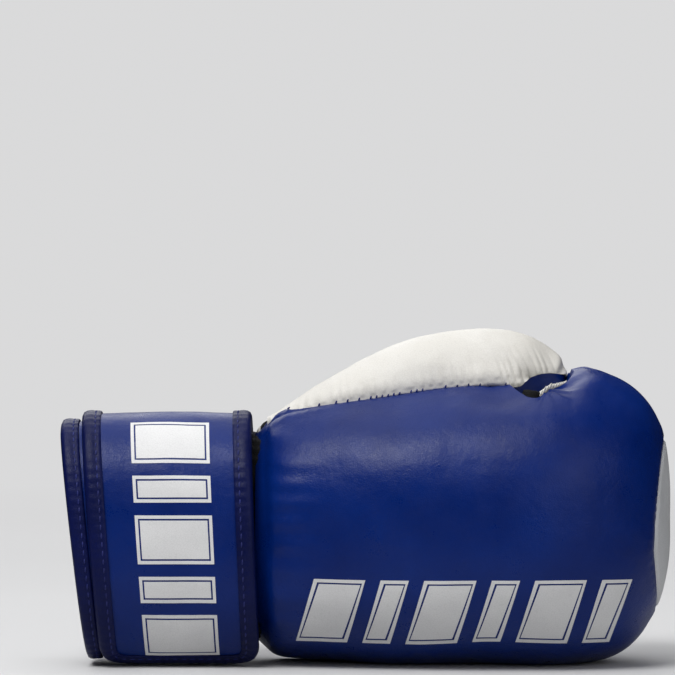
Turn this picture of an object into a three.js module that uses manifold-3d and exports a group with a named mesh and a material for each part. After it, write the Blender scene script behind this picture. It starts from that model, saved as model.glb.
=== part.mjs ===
// Right-hand padded striking glove with a wrap-around hook-and-loop wrist strap.
// Millimetres, +Z up. The glove stands on its little-finger edge: +X runs from the wrist to the
// knuckles, -Y is the back of the hand, +Y is the palm, +Z is the thumb side.
import * as THREE from "three";
import { mergeVertices } from "three/addons/utils/BufferGeometryUtils.js";
import Module from "manifold-3d";

const wasm = await Module();
wasm.setup();

// ---------------------------------------------------------------- shared dimensions
const LENGTH = 286.5; // open end of the cuff to the knuckles
const LEATHER = 1.6; // shell leather thickness
const GAP = 0.35; // clearance between neighbouring pieces

// ---------------------------------------------------------------- materials
const material = (color, roughness) => new THREE.MeshStandardMaterial({ color, roughness });
const BLUE = material(0x0a2a80, 0.42);
const WHITE = material(0xdad7cf, 0.5);
const NAVY = material(0x13164f, 0.45);
const BLACK = material(0x0a0a0b, 0.85);
const FOAM = material(0x8d8f92, 0.95);
const LINING = material(0x1c1d22, 0.95);

// ---------------------------------------------------------------- number helpers
const smooth = (u) => {
  const t = Math.min(Math.max(u, 0), 1);
  return t * t * (3 - 2 * t);
};
const signedPow = (value, power) => Math.sign(value) * Math.pow(Math.abs(value), power);
const steps = (from, to, n) =>
  Array.from({ length: n + 1 }, (_, i) => from + ((to - from) * i) / n);
// The values of a list that lie between two ends, with the ends added.
const between = (list, from, to) => [
  from,
  ...list.filter((v) => v > from + 1e-6 && v < to - 1e-6),
  to,
];

// A table row at a fractional index, by a Catmull-Rom curve through the rows.
function rowAt(rows, t) {
  const n = rows.length - 1;
  const i = Math.min(Math.floor(t), n - 1);
  const u = t - i;
  const before = rows[Math.max(i - 1, 0)];
  const start = rows[i];
  const end = rows[i + 1];
  const after = rows[Math.min(i + 2, n)];
  return start.map((p, k) => {
    const linear = end[k] - before[k];
    const square = 2 * before[k] - 5 * p + 4 * end[k] - after[k];
    const cube = 3 * p - before[k] - 3 * end[k] + after[k];
    return 0.5 * (2 * p + linear * u + square * u * u + cube * u * u * u);
  });
}

// ---------------------------------------------------------------- outline helpers
const toVectors = (outline) => outline.map(([a, b]) => new THREE.Vector2(a, b));
const rect = (a0, a1, b0, b1) => [[a0, b0], [a1, b0], [a1, b1], [a0, b1]];

// An outline moved outwards by a distance (inwards if negative).
function grow(outline, distance) {
  const n = outline.length;
  const shift = Math.sign(THREE.ShapeUtils.area(toVectors(outline))) * distance;
  return outline.map(([x, z], i) => {
    const [lastX, lastZ] = outline[(i + n - 1) % n];
    const [nextX, nextZ] = outline[(i + 1) % n];
    const normalIn = new THREE.Vector2(z - lastZ, lastX - x).normalize();
    const normalOut = new THREE.Vector2(nextZ - z, x - nextX).normalize();
    const miter = normalIn.clone().add(normalOut).normalize();
    const reach = shift / Math.max(miter.dot(normalIn), 0.4); // limits sharp corners
    return [x + miter.x * reach, z + miter.y * reach];
  });
}

// ---------------------------------------------------------------- solid helpers
// A solid from points and triangles, turned the right way out.
function solid(points, tris) {
  const vertProperties = new Float32Array(points.length * 3);
  points.forEach((p, i) => vertProperties.set([p.x, p.y, p.z], i * 3));
  const build = (list) => new wasm.Manifold(new wasm.Mesh({
    numProp: 3, vertProperties, triVerts: new Uint32Array(list.flat()),
  }));
  const made = build(tris);
  return made.volume() < 0 ? build(tris.map(([a, b, c]) => [a, c, b])) : made;
}

// A closed sheet between two surfaces over the same grid of (u, v).
function sheet(outer, inner, us, vs) {
  const nu = us.length;
  const nv = vs.length;
  const points = [outer, inner].flatMap((fn) => us.flatMap((u) => vs.map((v) => fn(u, v))));
  const at = (side, i, j) => side * nu * nv + i * nv + j;
  const tris = [];
  const quad = (a, b, c, d) => tris.push([a, b, c], [a, c, d]);
  for (let i = 0; i < nu - 1; i++) {
    for (let j = 0; j < nv - 1; j++) {
      quad(at(0, i, j), at(0, i + 1, j), at(0, i + 1, j + 1), at(0, i, j + 1));
      quad(at(1, i, j + 1), at(1, i + 1, j + 1), at(1, i + 1, j), at(1, i, j));
    }
  }
  for (let i = 0; i < nu - 1; i++) {
    quad(at(1, i, 0), at(1, i + 1, 0), at(0, i + 1, 0), at(0, i, 0));
    quad(at(0, i, nv - 1), at(0, i + 1, nv - 1), at(1, i + 1, nv - 1), at(1, i, nv - 1));
  }
  for (let j = 0; j < nv - 1; j++) {
    quad(at(0, 0, j), at(0, 0, j + 1), at(1, 0, j + 1), at(1, 0, j));
    quad(at(1, nu - 1, j), at(1, nu - 1, j + 1), at(0, nu - 1, j + 1), at(0, nu - 1, j));
  }
  return solid(points, tris);
}

// Triangles between successive rings of n points; closed also joins the last ring to the first.
function wallTris(ringCount, n, closed = false) {
  const tris = [];
  for (let i = 0; i < (closed ? ringCount : ringCount - 1); i++) {
    const ring = i * n;
    const next = ((i + 1) % ringCount) * n;
    for (let j = 0; j < n; j++) {
      const k = (j + 1) % n;
      tris.push([ring + j, ring + k, next + k], [ring + j, next + k, next + j]);
    }
  }
  return tris;
}

// A closed section carried along a path by place(section point, path value).
// flatten gives each section point in the plane, for triangulating the end caps.
function sweep(section, place, path, flatten = (point) => point) {
  const points = path.flatMap((p) => section.map((s) => place(s, p)));
  const tris = wallTris(path.length, section.length);
  const last = (path.length - 1) * section.length;
  const caps = THREE.ShapeUtils.triangulateShape(toVectors(section.map(flatten)), []);
  for (const [a, b, c] of caps) tris.push([a, c, b], [last + a, last + b, last + c]);
  return solid(points, tris);
}

function fromGeometry(geometry) {
  geometry.deleteAttribute("normal");
  geometry.deleteAttribute("uv");
  const merged = mergeVertices(geometry, 1e-4);
  return new wasm.Manifold(new wasm.Mesh({
    numProp: 3,
    vertProperties: new Float32Array(merged.attributes.position.array),
    triVerts: new Uint32Array(merged.index.array),
  }));
}

const extrude = (outline, depth) =>
  new THREE.ExtrudeGeometry(new THREE.Shape(toVectors(outline)), { depth, bevelEnabled: false });

// A prism over an outline in x and z, from y0 to y1.
function prismY(outline, y0, y1) {
  const geometry = extrude(outline, y1 - y0);
  geometry.rotateX(Math.PI / 2); // shape y becomes z, depth becomes -y
  geometry.translate(0, y1, 0);
  return fromGeometry(geometry);
}

// A prism over an outline in y and z, from x0 to x1.
function prismX(outline, x0, x1) {
  const geometry = extrude(outline, x1 - x0);
  geometry.applyMatrix4(new THREE.Matrix4().set(
    0, 0, 1, x0,
    1, 0, 0, 0,
    0, 1, 0, 0,
    0, 0, 0, 1,
  ));
  return fromGeometry(geometry);
}

function box([x0, y0, z0], [x1, y1, z1]) {
  const geometry = new THREE.BoxGeometry(x1 - x0, y1 - y0, z1 - z0);
  geometry.translate((x0 + x1) / 2, (y0 + y1) / 2, (z0 + z1) / 2);
  return fromGeometry(geometry);
}

// ---------------------------------------------------------------- output group
const glove = new THREE.Group();
const centred = new THREE.Group();
centred.position.set(-LENGTH / 2, 0, 0); // origin under the middle of the glove
glove.add(centred);

function add(name, piece, pieceMaterial) {
  const mesh = piece.getMesh();
  const geometry = new THREE.BufferGeometry();
  const position = new Float32Array(mesh.vertProperties);
  geometry.setAttribute("position", new THREE.BufferAttribute(position, 3));
  geometry.setIndex(new THREE.BufferAttribute(new Uint32Array(mesh.triVerts), 1));
  geometry.computeVertexNormals();
  const object = new THREE.Mesh(geometry, pieceMaterial);
  object.name = name;
  centred.add(object);
}

// Adds the largest body of a cut solid, leaving out loose scraps.
function addLargest(name, piece, pieceMaterial) {
  const largest = piece.decompose().reduce((a, b) => (b.volume() > a.volume() ? b : a));
  add(name, largest, pieceMaterial);
}

// ---------------------------------------------------------------- mitt surfaces
// Outer profile of the padded mitt, wrist to knuckles and round to the lip of the finger roll.
// [outer x, outer y, edge x, edge y, top z, bottom z]
const MITT = [
  [92, -31, 92, 20, 108.5, 10.5],
  [96, -34.2, 96, 22.5, 113, 6.5],
  [100.5, -40, 100.5, 25, 119, 2.6],
  [109, -44.5, 109, 26, 123.4, 0.4],
  [126, -48.5, 126, 26, 128.5, -0.8],
  [148, -53, 148, 25, 132, -1.6],
  [172, -57, 171, 23.2, 134.5, -2],
  [196, -60, 193, 21.4, 136, -2],
  [217, -61, 211, 19, 137, -2],
  [236, -58.5, 224, 13.2, 138.5, -1.6],
  [253, -52, 233, 9.4, 140.3, -1],
  [267.5, -41, 239, 6.8, 141.3, -0.6],
  [278.5, -26.5, 242.3, 5, 141.5, -0.4],
  [285, -9.5, 244, 4, 141.5, -0.3],
  [286.5, 8, 244.6, 5.4, 141.3, -0.3],
  [284.5, 25, 244, 7.6, 140.8, -0.4],
  [278, 40.5, 242.4, 9.4, 140, -0.5],
  [266.5, 52.5, 240, 11.4, 138.5, -0.6],
  [251.5, 59.5, 237, 13.2, 136.5, 0.2],
  [235, 61, 233.5, 15, 134, 1.6],
  [219, 57.5, 230, 16.6, 131, 3.6],
  [207, 49.5, 226.5, 18.2, 127, 6.5],
  [200.5, 39, 223, 19.8, 122.5, 10.5],
  [200.5, 31, 220, 21, 118, 15],
];
// Inner face of the padding, along the same rows. [x, y]
const CORE = [
  [92, -26.5], [96, -27], [100.5, -27], [109, -27], [126, -27.5], [148, -28],
  [172, -29], [196, -30], [216, -31], [230, -29], [240, -23], [247, -15],
  [251, -6.5], [253, 2], [253, 8.5], [251, 15], [247.5, 20.5], [243, 25],
  [238, 28.5], [232, 31], [224.5, 32.5], [217, 33.5], [210.5, 33.6], [207, 33],
];
const LAST_ROW = MITT.length - 1;
const OUTER_EXPONENT = 2.5; // superellipse exponent of the outer sections
const INNER_EXPONENT = 5.0; // superellipse exponent of the hand compartment
const INNER_TOP = 108; // hand compartment, thumb side
const INNER_BOTTOM = 14; // hand compartment, little-finger side
const WRIST_NARROWING = 9; // taken off the compartment's half height at the wrist
const LIP_SHIFT = 26; // how far the lip runs towards the knuckles on the thumb side

// Both surfaces take t, a fractional table row, and f, from 0 at the thumb-side edge to 1 at
// the little-finger-side edge. How far a section stands out there, and how high it is (-1 to 1):
function sectionAt(f, exponent) {
  const angle = Math.PI * f;
  const power = 2 / exponent;
  return [Math.pow(Math.sin(angle), power), signedPow(Math.cos(angle), power)];
}

function mittSurface(t, f) {
  const [outerX, outerY, edgeX, edgeY, topZ, bottomZ] = rowAt(MITT, t);
  const [out, up] = sectionAt(f, OUTER_EXPONENT);
  const z = (topZ + bottomZ) / 2 + ((topZ - bottomZ) / 2) * up;
  const shift = smooth((t - 15.5) / 6.5) * LIP_SHIFT * smooth((z - 50) / 55)
    * Math.min(1, out * 1.6);
  return new THREE.Vector3(edgeX + (outerX - edgeX) * out + shift, edgeY + (outerY - edgeY) * out, z);
}

function mittNormal(t, f) {
  const stepT = 0.02;
  const stepF = 0.004;
  const safeF = Math.min(Math.max(f, 0.012), 0.988); // keeps off the edges
  const alongT = mittSurface(Math.min(t + stepT, LAST_ROW), safeF)
    .sub(mittSurface(Math.max(t - stepT, 0), safeF));
  const alongF = mittSurface(t, safeF + stepF).sub(mittSurface(t, safeF - stepF));
  return alongF.cross(alongT).normalize();
}

// A point at a depth below the outer surface.
function mittPoint(t, f, depth) {
  const p = mittSurface(t, f).addScaledVector(mittNormal(t, f), -depth);
  p.z = Math.max(p.z, Math.max(depth, 0)); // flattened where it rests
  return p;
}

// A point on the wall of the hand compartment, moved into it by an inset.
function corePoint(t, f, inset) {
  const [, , edgeX, edgeY] = rowAt(MITT, t);
  const [coreX, coreY] = rowAt(CORE, t);
  const [out, up] = sectionAt(f, INNER_EXPONENT);
  const halfHeight = (INNER_TOP - INNER_BOTTOM) / 2 - inset - WRIST_NARROWING * (1 - smooth(t / 4));
  const reach = Math.hypot(coreX - edgeX, coreY - edgeY);
  const scale = (reach - inset) / reach;
  return new THREE.Vector3(
    edgeX + (coreX - edgeX) * out * scale,
    edgeY + (coreY - edgeY) * out * scale,
    (INNER_TOP + INNER_BOTTOM) / 2 + halfHeight * up,
  );
}

const FOAM_DEPTH = 2.1; // outer face of the padding below the shell surface
const LINER_INSETS = [0.5, 1.5]; // faces of the lining, inside the compartment wall
const shellSheet = (ts, fs, outerDepth = 0, innerDepth = LEATHER) =>
  sheet((t, f) => mittPoint(t, f, outerDepth), (t, f) => mittPoint(t, f, innerDepth), ts, fs);
const foamSheet = (ts, fs) =>
  sheet((t, f) => mittPoint(t, f, FOAM_DEPTH), (t, f) => corePoint(t, f, 0), ts, fs);
const linerSheet = (ts, fs) => {
  const [outer, inner] = LINER_INSETS;
  return sheet((t, f) => corePoint(t, f, outer), (t, f) => corePoint(t, f, inner), ts, fs);
};

// Grid lines. The shell divides where the finger roll bends on the back of the hand.
const SPLIT_ROW = 8.5;
const SHELL_SPLIT = 0.02; // rows left out each side of the split, in the shell
const PADDING_SPLIT = 0.12; // the same, in the padding and lining
const ROWS = steps(0, LAST_ROW, 23);
const AROUND = steps(0, 1, 16);
const BACK_ROWS = between(ROWS, 0, SPLIT_ROW - SHELL_SPLIT);
const CURL_ROWS = between(ROWS, SPLIT_ROW + SHELL_SPLIT, LAST_ROW);
const backRows = (from) => between(BACK_ROWS, from, SPLIT_ROW - PADDING_SPLIT);
const curlRows = (to) => between(CURL_ROWS, SPLIT_ROW + PADDING_SPLIT, to);

// ---------------------------------------------------------------- thumb pod
// Thumb pod sections. [x, centre y, centre z, half y, half z]
const THUMB = [
  [97, 3, 113.5, 6, 3.5],
  [104, 4, 115, 12, 6],
  [113, 4.6, 117.5, 16, 8.6],
  [126, 5.4, 121.2, 19, 12.6],
  [140, 6.2, 125.2, 21, 16.6],
  [156, 7.2, 129.2, 22.2, 20],
  [173, 8.2, 132.2, 22.6, 22.4],
  [189, 9.2, 134, 22.4, 23.6],
  [204, 10.2, 134.8, 21.6, 23.4],
  [217, 11, 135, 19.6, 21],
  [227.5, 11.6, 134.8, 16, 16.8],
  [234.5, 12, 134.8, 11, 11.4],
  [238.2, 12, 134.9, 5.6, 5.8],
];
const THUMB_TIP = [239.4, 12, 135];
// Space for the thumb inside the pod, same columns.
const THUMB_HOLLOW = [
  [108, 8, 110, 9, 9],
  [122, 8, 116, 10, 9.5],
  [140, 8.4, 122.5, 11, 10.5],
  [160, 9, 127.5, 11.5, 11.5],
  [182, 10, 131.5, 11.5, 11.5],
  [200, 10.6, 133.4, 10.5, 10.5],
  [212, 11, 134.2, 7.5, 7.5],
  [217, 11.2, 134.5, 3, 3],
];
const THUMB_SEGMENTS = 16;
// Seam line that the thumb swings on.
const THUMB_SWING = 8; // degrees
const THUMB_AXIS_START = new THREE.Vector3(106, -10, 120);
const THUMB_AXIS_END = new THREE.Vector3(216, -12.5, 131);
// Seam between the outer and inner thumb leather, from the back to the palm. [y, z]
const THUMB_SEAM = [[-60, 128.5], [-12, 128.5], [10, 119], [22, 114.5], [60, 112]];
const THUMB_SEAM_GAP = 0.4;

// Elliptical sections skinned together and closed to a point at each end.
function podSolid(rows, tip, inset = 0) {
  const n = THUMB_SEGMENTS;
  const points = rows.flatMap(([x, centreY, centreZ, halfY, halfZ]) =>
    Array.from({ length: n }, (_, i) => {
      const angle = (2 * Math.PI * i) / n;
      return new THREE.Vector3(
        x,
        centreY + (halfY - inset) * Math.cos(angle),
        centreZ + (halfZ - inset) * Math.sin(angle),
      );
    }));
  const tris = wallTris(rows.length, n);
  const last = (rows.length - 1) * n;
  const tipIndex = points.push(new THREE.Vector3(...tip)) - 1;
  const baseIndex = points.push(new THREE.Vector3(...rows[0].slice(0, 3))) - 1;
  for (let j = 0; j < n; j++) {
    const k = (j + 1) % n;
    tris.push([last + j, last + k, tipIndex], [k, j, baseIndex]);
  }
  return solid(points, tris);
}

function thumbSolid({ inset, tipInset = inset, rows = THUMB }) {
  const [x, y, z] = THUMB_TIP;
  return podSolid(rows, [x - tipInset, y, z], inset);
}

// The room the thumb needs through its whole swing about the seam.
function makeThumbRoom() {
  const still = thumbSolid({ inset: -1.0, tipInset: -1.2 });
  const axis = THUMB_AXIS_END.clone().sub(THUMB_AXIS_START).normalize();
  const turned = (degrees) => {
    const angle = THREE.MathUtils.degToRad(degrees);
    const matrix = new THREE.Matrix4().makeTranslation(THUMB_AXIS_START)
      .multiply(new THREE.Matrix4().makeRotationAxis(axis, angle))
      .multiply(new THREE.Matrix4().makeTranslation(THUMB_AXIS_START.clone().negate()));
    return still.transform(matrix.elements);
  };
  return still.add(turned(THUMB_SWING / 2)).add(turned(THUMB_SWING + 0.5));
}

function addThumb() {
  const shell = thumbSolid({ inset: 0 })
    .subtract(thumbSolid({ inset: LEATHER, rows: THUMB.slice(0, -1) }));
  const outside = prismX([...THUMB_SEAM, [60, 190], [-60, 190]], 90, 250);
  const lowerSeam = THUMB_SEAM.map(([y, z]) => [y, z - THUMB_SEAM_GAP]);
  const inside = prismX([...lowerSeam, [60, 60], [-60, 60]], 90, 250);
  const mouth = box([96, -8, 100], [150, 20, 118]); // the thumb goes in here
  addLargest("thumb_outer", shell.intersect(outside), WHITE);
  addLargest("thumb_inner", shell.intersect(inside).subtract(mouth), BLUE);

  const hollow = podSolid(THUMB_HOLLOW, THUMB_HOLLOW.at(-1).slice(0, 3));
  const foam = thumbSolid({ inset: 2.3, tipInset: 3.2, rows: THUMB.slice(2, -1) })
    .subtract(hollow)
    .subtract(box([90, -40, 90], [150, 60, 120.5]));
  addLargest("thumb_foam", foam, FOAM);
  // Elastic tie that holds the thumb to the finger roll.
  add("thumb_tie", box([213, 19.5, 108.2], [225, 21.3, 114.2]), BLACK);
}

// ---------------------------------------------------------------- back of the mitt
const thumbRoom = makeThumbRoom();
// The pod closes the glove here.
const underThumb = box([100.5, 6, 109], [224, 60, 170]).add(box([90, 13, 111.5], [101, 60, 170]));
// The back shell with clearance all round.
const backShellZone = shellSheet(BACK_ROWS, AROUND, -GAP, LEATHER + GAP);

function addBack() {
  const shell = shellSheet(BACK_ROWS, AROUND);
  addLargest("back_shell", shell.subtract(thumbRoom).subtract(underThumb), BLUE);
  const backFoam = foamSheet(backRows(0.4), between(AROUND, 0.19, 0.8));
  addLargest("back_foam", backFoam.subtract(thumbRoom), FOAM);
  const littleFoam = foamSheet(backRows(0.4), between(AROUND, 0.83, 0.965));
  addLargest("little_finger_side_foam", littleFoam, FOAM);
  const indexFoam = foamSheet(backRows(5.6), between(AROUND, 0.04, 0.18));
  addLargest("index_side_foam", indexFoam.subtract(thumbRoom).subtract(underThumb), FOAM);
}

// ---------------------------------------------------------------- palm surface
const PALM_THICKNESS = 1.5;
const PALM_CROWN_TOP = 104; // thumb-side z that the crown is centred from
const PALM_TOP = 107.5; // thumb-side edge of the palm sheet
const PALM_EDGE_LIFT = 0.6; // palm sheet edge above the little-finger side panel
// Grid lines of the palm sheet; the z values are stretched to fit its edges.
const PALM_X = [
  96, 101, 108, 116, 124, 132, 140, 150, 160, 170, 180, 188, 196, 204, 211, 218, 225,
];
const PALM_Z = [4, 10, 18, 26, 34, 42, 50, 58, 66, 74, 82, 90, 98, 104, 108];

// Palm y over x and z, at a depth below its face.
function palmY(x, z, depth) {
  // Bisect for the mitt row whose edge lies at x.
  let low = 0;
  let high = 10;
  for (let k = 0; k < 30; k++) {
    const middle = (low + high) / 2;
    if (rowAt(MITT, middle)[2] < x) low = middle;
    else high = middle;
  }
  const [, , , edgeY, , bottomZ] = rowAt(MITT, low);
  const centreZ = (PALM_CROWN_TOP + bottomZ) / 2;
  const halfWidth = (PALM_CROWN_TOP - bottomZ) / 2 + 8;
  const crown = 7 * (1 - smooth((x - 110) / 90)) + 1.5; // fullest near the wrist
  const across = Math.min(Math.abs(z - centreZ) / halfWidth, 1);
  return edgeY - 1.2 + crown * (1 - Math.pow(across, 2.6)) - depth;
}
const sidePanelTop = (x) => 9 + (x - 94) * 0.09; // top of the little-finger side panel

function makePalmSheet(outerDepth, innerDepth) {
  const face = (depth) => (x, gridZ) => {
    const bottom = sidePanelTop(x) + PALM_EDGE_LIFT;
    const along = (gridZ - PALM_Z[0]) / (PALM_Z.at(-1) - PALM_Z[0]);
    const z = bottom + along * (PALM_TOP - bottom);
    return new THREE.Vector3(x, palmY(x, z, depth), z);
  };
  return sheet(face(outerDepth), face(innerDepth), PALM_X, PALM_Z);
}

// ---------------------------------------------------------------- palm outlines, [x, z]
// Knuckle-side edge of the mesh, from the thumb side down.
const MESH_TOP = [
  [187.2, 112], [185.2, 103.2], [181.6, 88], [179.6, 73.8], [179.4, 62],
  [180.5, 50.4], [184.4, 34], [190.8, 16.8], [193.5, -5],
];
// Knuckle-side edge of the heel, from the little-finger side up.
const HEEL_EDGE = [
  [166, -5], [162.7, 14], [154.8, 31.8], [144, 50.4],
  [132.4, 64.4], [119.3, 73.8], [103.4, 81.7], [92, 86],
];
// The two edges of the thumb strip, palm side and then thumb side.
const STRIP_IN = [
  [92, 97], [103.4, 91], [113, 87.3], [123, 85.5], [137, 83],
  [148, 83.8], [155.7, 85.5], [170.7, 91.5], [178.5, 98.5],
];
const STRIP_OUT = [
  [178.5, 99.4], [168, 97.4], [160.4, 95.7], [141.7, 93],
  [123, 94.8], [113, 97.5], [103.4, 100.9], [92, 105.5],
];
const MESH = [
  ...MESH_TOP.slice(1, -1), [191, -5], ...HEEL_EDGE, ...STRIP_IN, [179.5, 103.4],
];
const WEB = [...STRIP_OUT, [92, 120], [189, 120], [187.2, 112], [185.4, 104], [179.4, 104]];
// Guard round the end of the wrist slit, and the hole in it.
const GUARD = [
  [92, 63], [103.4, 62.4], [118.4, 61.6], [124, 57.5], [127.6, 51], [128.8, 42],
  [126.6, 34], [122, 27.8], [113.7, 24.4], [103.4, 23], [92, 22.5],
];
const GUARD_HOLE = [
  [80, 54], [103.4, 53.7], [111.4, 53.5], [116, 50.6], [118.6, 47], [119.3, 43.4],
  [118.6, 39.4], [116.4, 35.6], [111.4, 32.7], [103.4, 31.8], [80, 31.5],
];
const LINER_HOLE = [
  [80, 54.5], [111.4, 54.5], [117, 51], [120, 43.4], [117, 35], [111.4, 31], [80, 31],
];
// Outer edge of the rolled tape round the end of the slit.
const TAPE = [
  [98, 53.2], [106, 53.2], [111.6, 52.4], [115.6, 49.6], [118.2, 46.2], [118.9, 43.2],
  [118.1, 39.8], [115.6, 36.4], [111.6, 33.6], [106, 32.8], [98, 32.8],
];
const TAPE_WIDTH = 4.4;
// Edges of the straight bands near the fingers.
const GRIP_BAND_END = 203.6;
const MIDDLE_BAND_END = 217.4;
const FINGER_BAND_END = 240;

// ---------------------------------------------------------------- palm pieces
const palmPrism = (outline) => prismY(outline, -20, 70);
const bandOutline = (x0, x1) => [[x0, -5], [x0, 115], [x1, 115], [x1, -5]];

function addPalmPanels() {
  const palm = makePalmSheet(0, PALM_THICKNESS);
  const cut = (outline) => palm.intersect(palmPrism(grow(outline, -GAP / 2)));
  addLargest("palm_finger_band", cut(bandOutline(MIDDLE_BAND_END, FINGER_BAND_END)), WHITE);
  addLargest("palm_middle_band", cut(bandOutline(GRIP_BAND_END, MIDDLE_BAND_END)), WHITE);
  const gripBand = [...MESH_TOP, [GRIP_BAND_END, -5], [GRIP_BAND_END, 112]];
  addLargest("palm_grip_band", cut(gripBand), WHITE);
  addLargest("palm_mesh", cut(MESH), BLACK);
  addLargest("palm_thumb_strip", cut([...STRIP_IN, ...STRIP_OUT]), WHITE);
  addLargest("thumb_web", cut(WEB).subtract(palmPrism(grow(MESH, GAP / 2))), BLUE);
  addSidePanel();
  const heel = cut([...HEEL_EDGE, [92, -5]])
    .subtract(palmPrism(grow(GUARD, GAP)))
    .subtract(box([80, -20, 22.4], [94.5, 70, 63.1]));
  addLargest("palm_heel", heel, WHITE);
  addLargest("slit_guard", cut(GUARD).subtract(palmPrism(grow(GUARD_HOLE, GAP / 2))), WHITE);
}

// Panel along the little-finger side, between the back and the palm.
function addSidePanel() {
  const bulge = 3.4; // how far the panel curves in from the palm face
  const face = (depth, bottom) => (x, v) => {
    const top = sidePanelTop(x) + 0.2;
    const angle = (Math.PI / 2) * v;
    return new THREE.Vector3(
      x,
      palmY(x, top + 0.6, 0) - depth - bulge * (1 - Math.sin(angle)),
      bottom + (top - bottom) * (1 - Math.cos(angle)),
    );
  };
  const panel = sheet(
    face(0, 1.2),
    face(PALM_THICKNESS, 2.4),
    [96, 104, 116, 132, 150, 170, 190, 206, 218],
    [0.12, 0.35, 0.6, 0.8, 1],
  );
  addLargest("little_finger_side_panel", panel.subtract(backShellZone), BLUE);
}

// Rolled tape round the end of the wrist slit.
function addSlitBinding() {
  const innerEdge = grow(TAPE, -TAPE_WIDTH);
  const last = TAPE.length - 1;
  const face = (depth, crown) => (i, v) => {
    const [outerX, outerZ] = TAPE[i];
    const [innerX, innerZ] = innerEdge[i];
    // Both ends finish square at the first outline x.
    const x = i === 0 || i === last ? TAPE[0][0] : outerX + (innerX - outerX) * v;
    const z = outerZ + (innerZ - outerZ) * v;
    return new THREE.Vector3(x, palmY(x, z, depth - Math.sin(Math.PI * v) * crown), z);
  };
  const tape = sheet(face(-0.4, 1.0), face(2.6, 0), steps(0, last, last), [0, 0.33, 0.67, 1]);
  addLargest("slit_binding", tape, NAVY);
}

function addHandLining() {
  const back = linerSheet(backRows(0.4), between(AROUND, 0.05, 0.95));
  addLargest("back_liner", back.subtract(thumbRoom).subtract(backShellZone), LINING);
  const palm = makePalmSheet(2.3, 3.3)
    .intersect(box([94, -20, 17], [222, 60, 105]))
    .subtract(palmPrism(LINER_HOLE));
  addLargest("palm_liner", palm, LINING);
}

// The bar the fingers close on.
function addGripBar() {
  const radius = 7.5;
  const bar = new THREE.CylinderGeometry(radius, radius, 80, 18);
  bar.rotateX(Math.PI / 2);
  bar.translate(219, 3.5, 61);
  add("grip_bar", fromGeometry(bar), FOAM);
}

// ---------------------------------------------------------------- finger roll
const KNUCKLE = { y: 2, z: 69, halfY: 31, halfZ: 42, exponent: 2.5, segments: 28 };

function knuckleOutline() {
  const { y, z, halfY, halfZ, exponent, segments } = KNUCKLE;
  return Array.from({ length: segments }, (_, i) => {
    const angle = (2 * Math.PI * i) / segments;
    const power = 2 / exponent;
    return [
      y + halfY * signedPow(Math.cos(angle), power),
      z + halfZ * signedPow(Math.sin(angle), power),
    ];
  });
}

function addFingerRoll() {
  const around = between(AROUND, 0.005, 0.995);
  const shell = shellSheet(CURL_ROWS, around).subtract(thumbRoom);
  const outline = knuckleOutline();
  addLargest("knuckle_panel", shell.intersect(prismX(outline, 262, 300)), WHITE);
  addLargest("curl_shell", shell.subtract(prismX(grow(outline, GAP), 262, 300)), BLUE);

  const shellZone = shellSheet(CURL_ROWS, around, -0.4, LEATHER + 0.9);
  const fold = box([225.5, 26, 90], [240, 33, 114]); // the lip folds tight here, unpadded
  const clear = (piece) => piece.subtract(thumbRoom).subtract(shellZone).subtract(fold);
  const foam = foamSheet(curlRows(21.6), between(AROUND, 0.13, 0.92));
  addLargest("curl_foam", clear(foam), FOAM);
  const liner = linerSheet(curlRows(21.4), between(AROUND, 0.16, 0.9));
  addLargest("curl_liner", clear(liner), LINING);
}

// ---------------------------------------------------------------- cuff
// Angles run round the wrist in degrees: 0 back, 90 thumb side, 180 palm.
const CUFF_HALF_Y = 36;
const CUFF_HALF_Z = 55.3;
const CUFF_CENTRE_Z = 58.8;
const CUFF_EXPONENT = 2.3; // superellipse exponent of the cuff section
const CUFF_END = 87; // hand-side end of the cuff layers
const CUFF_SEGMENTS = 40;
const DEGREE_STEP = 9; // spacing of sweeps part of the way round
const SLIT_Z = [38.5, 51.5]; // wrist slit edges
const FLAP_CLEARANCE = 0.7; // between the flaps and the back of the cuff
// Palm-side cuts in the cuff. [x, z]
const THUMB_FLAP = [[86.5, 51.6], [-20, 51.6], [-20, 113.5]];
const LITTLE_FLAP = [[86.5, 38.4], [-20, 38.4], [-20, 8.4]];
const SLIT_X = [-20, 86.9, 88.5, 100];
const SLIT = [
  ...SLIT_X.map((x) => [x, SLIT_Z[0]]),
  ...SLIT_X.toReversed().map((x) => [x, SLIT_Z[1]]),
];
// Layer sections: [distance from the open end, height above the cuff surface]
const CUFF_LAYERS = [
  ["leather", rect(1.6, CUFF_END, 0, -1.3), BLUE],
  ["padding", rect(1.8, CUFF_END - 1, -1.6, -5.2), FOAM],
  ["lining", rect(1.6, CUFF_END - 1, -5.5, -6.5), LINING],
  [
    "binding",
    [[8, 1.1], [0, 1.1], [0, -7.6], [6, -7.6], [6, -6.8], [1.2, -6.8], [1.2, 0.3], [8, 0.3]],
    NAVY,
  ],
];

const wristX = (z) => Math.max(12.5 * (1 - z / 112), 0); // the open end is cut a little aslant
const degreesBetween = (from, to) =>
  steps(from, to, Math.max(1, Math.round(Math.abs(to - from) / DEGREE_STEP)));

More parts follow.
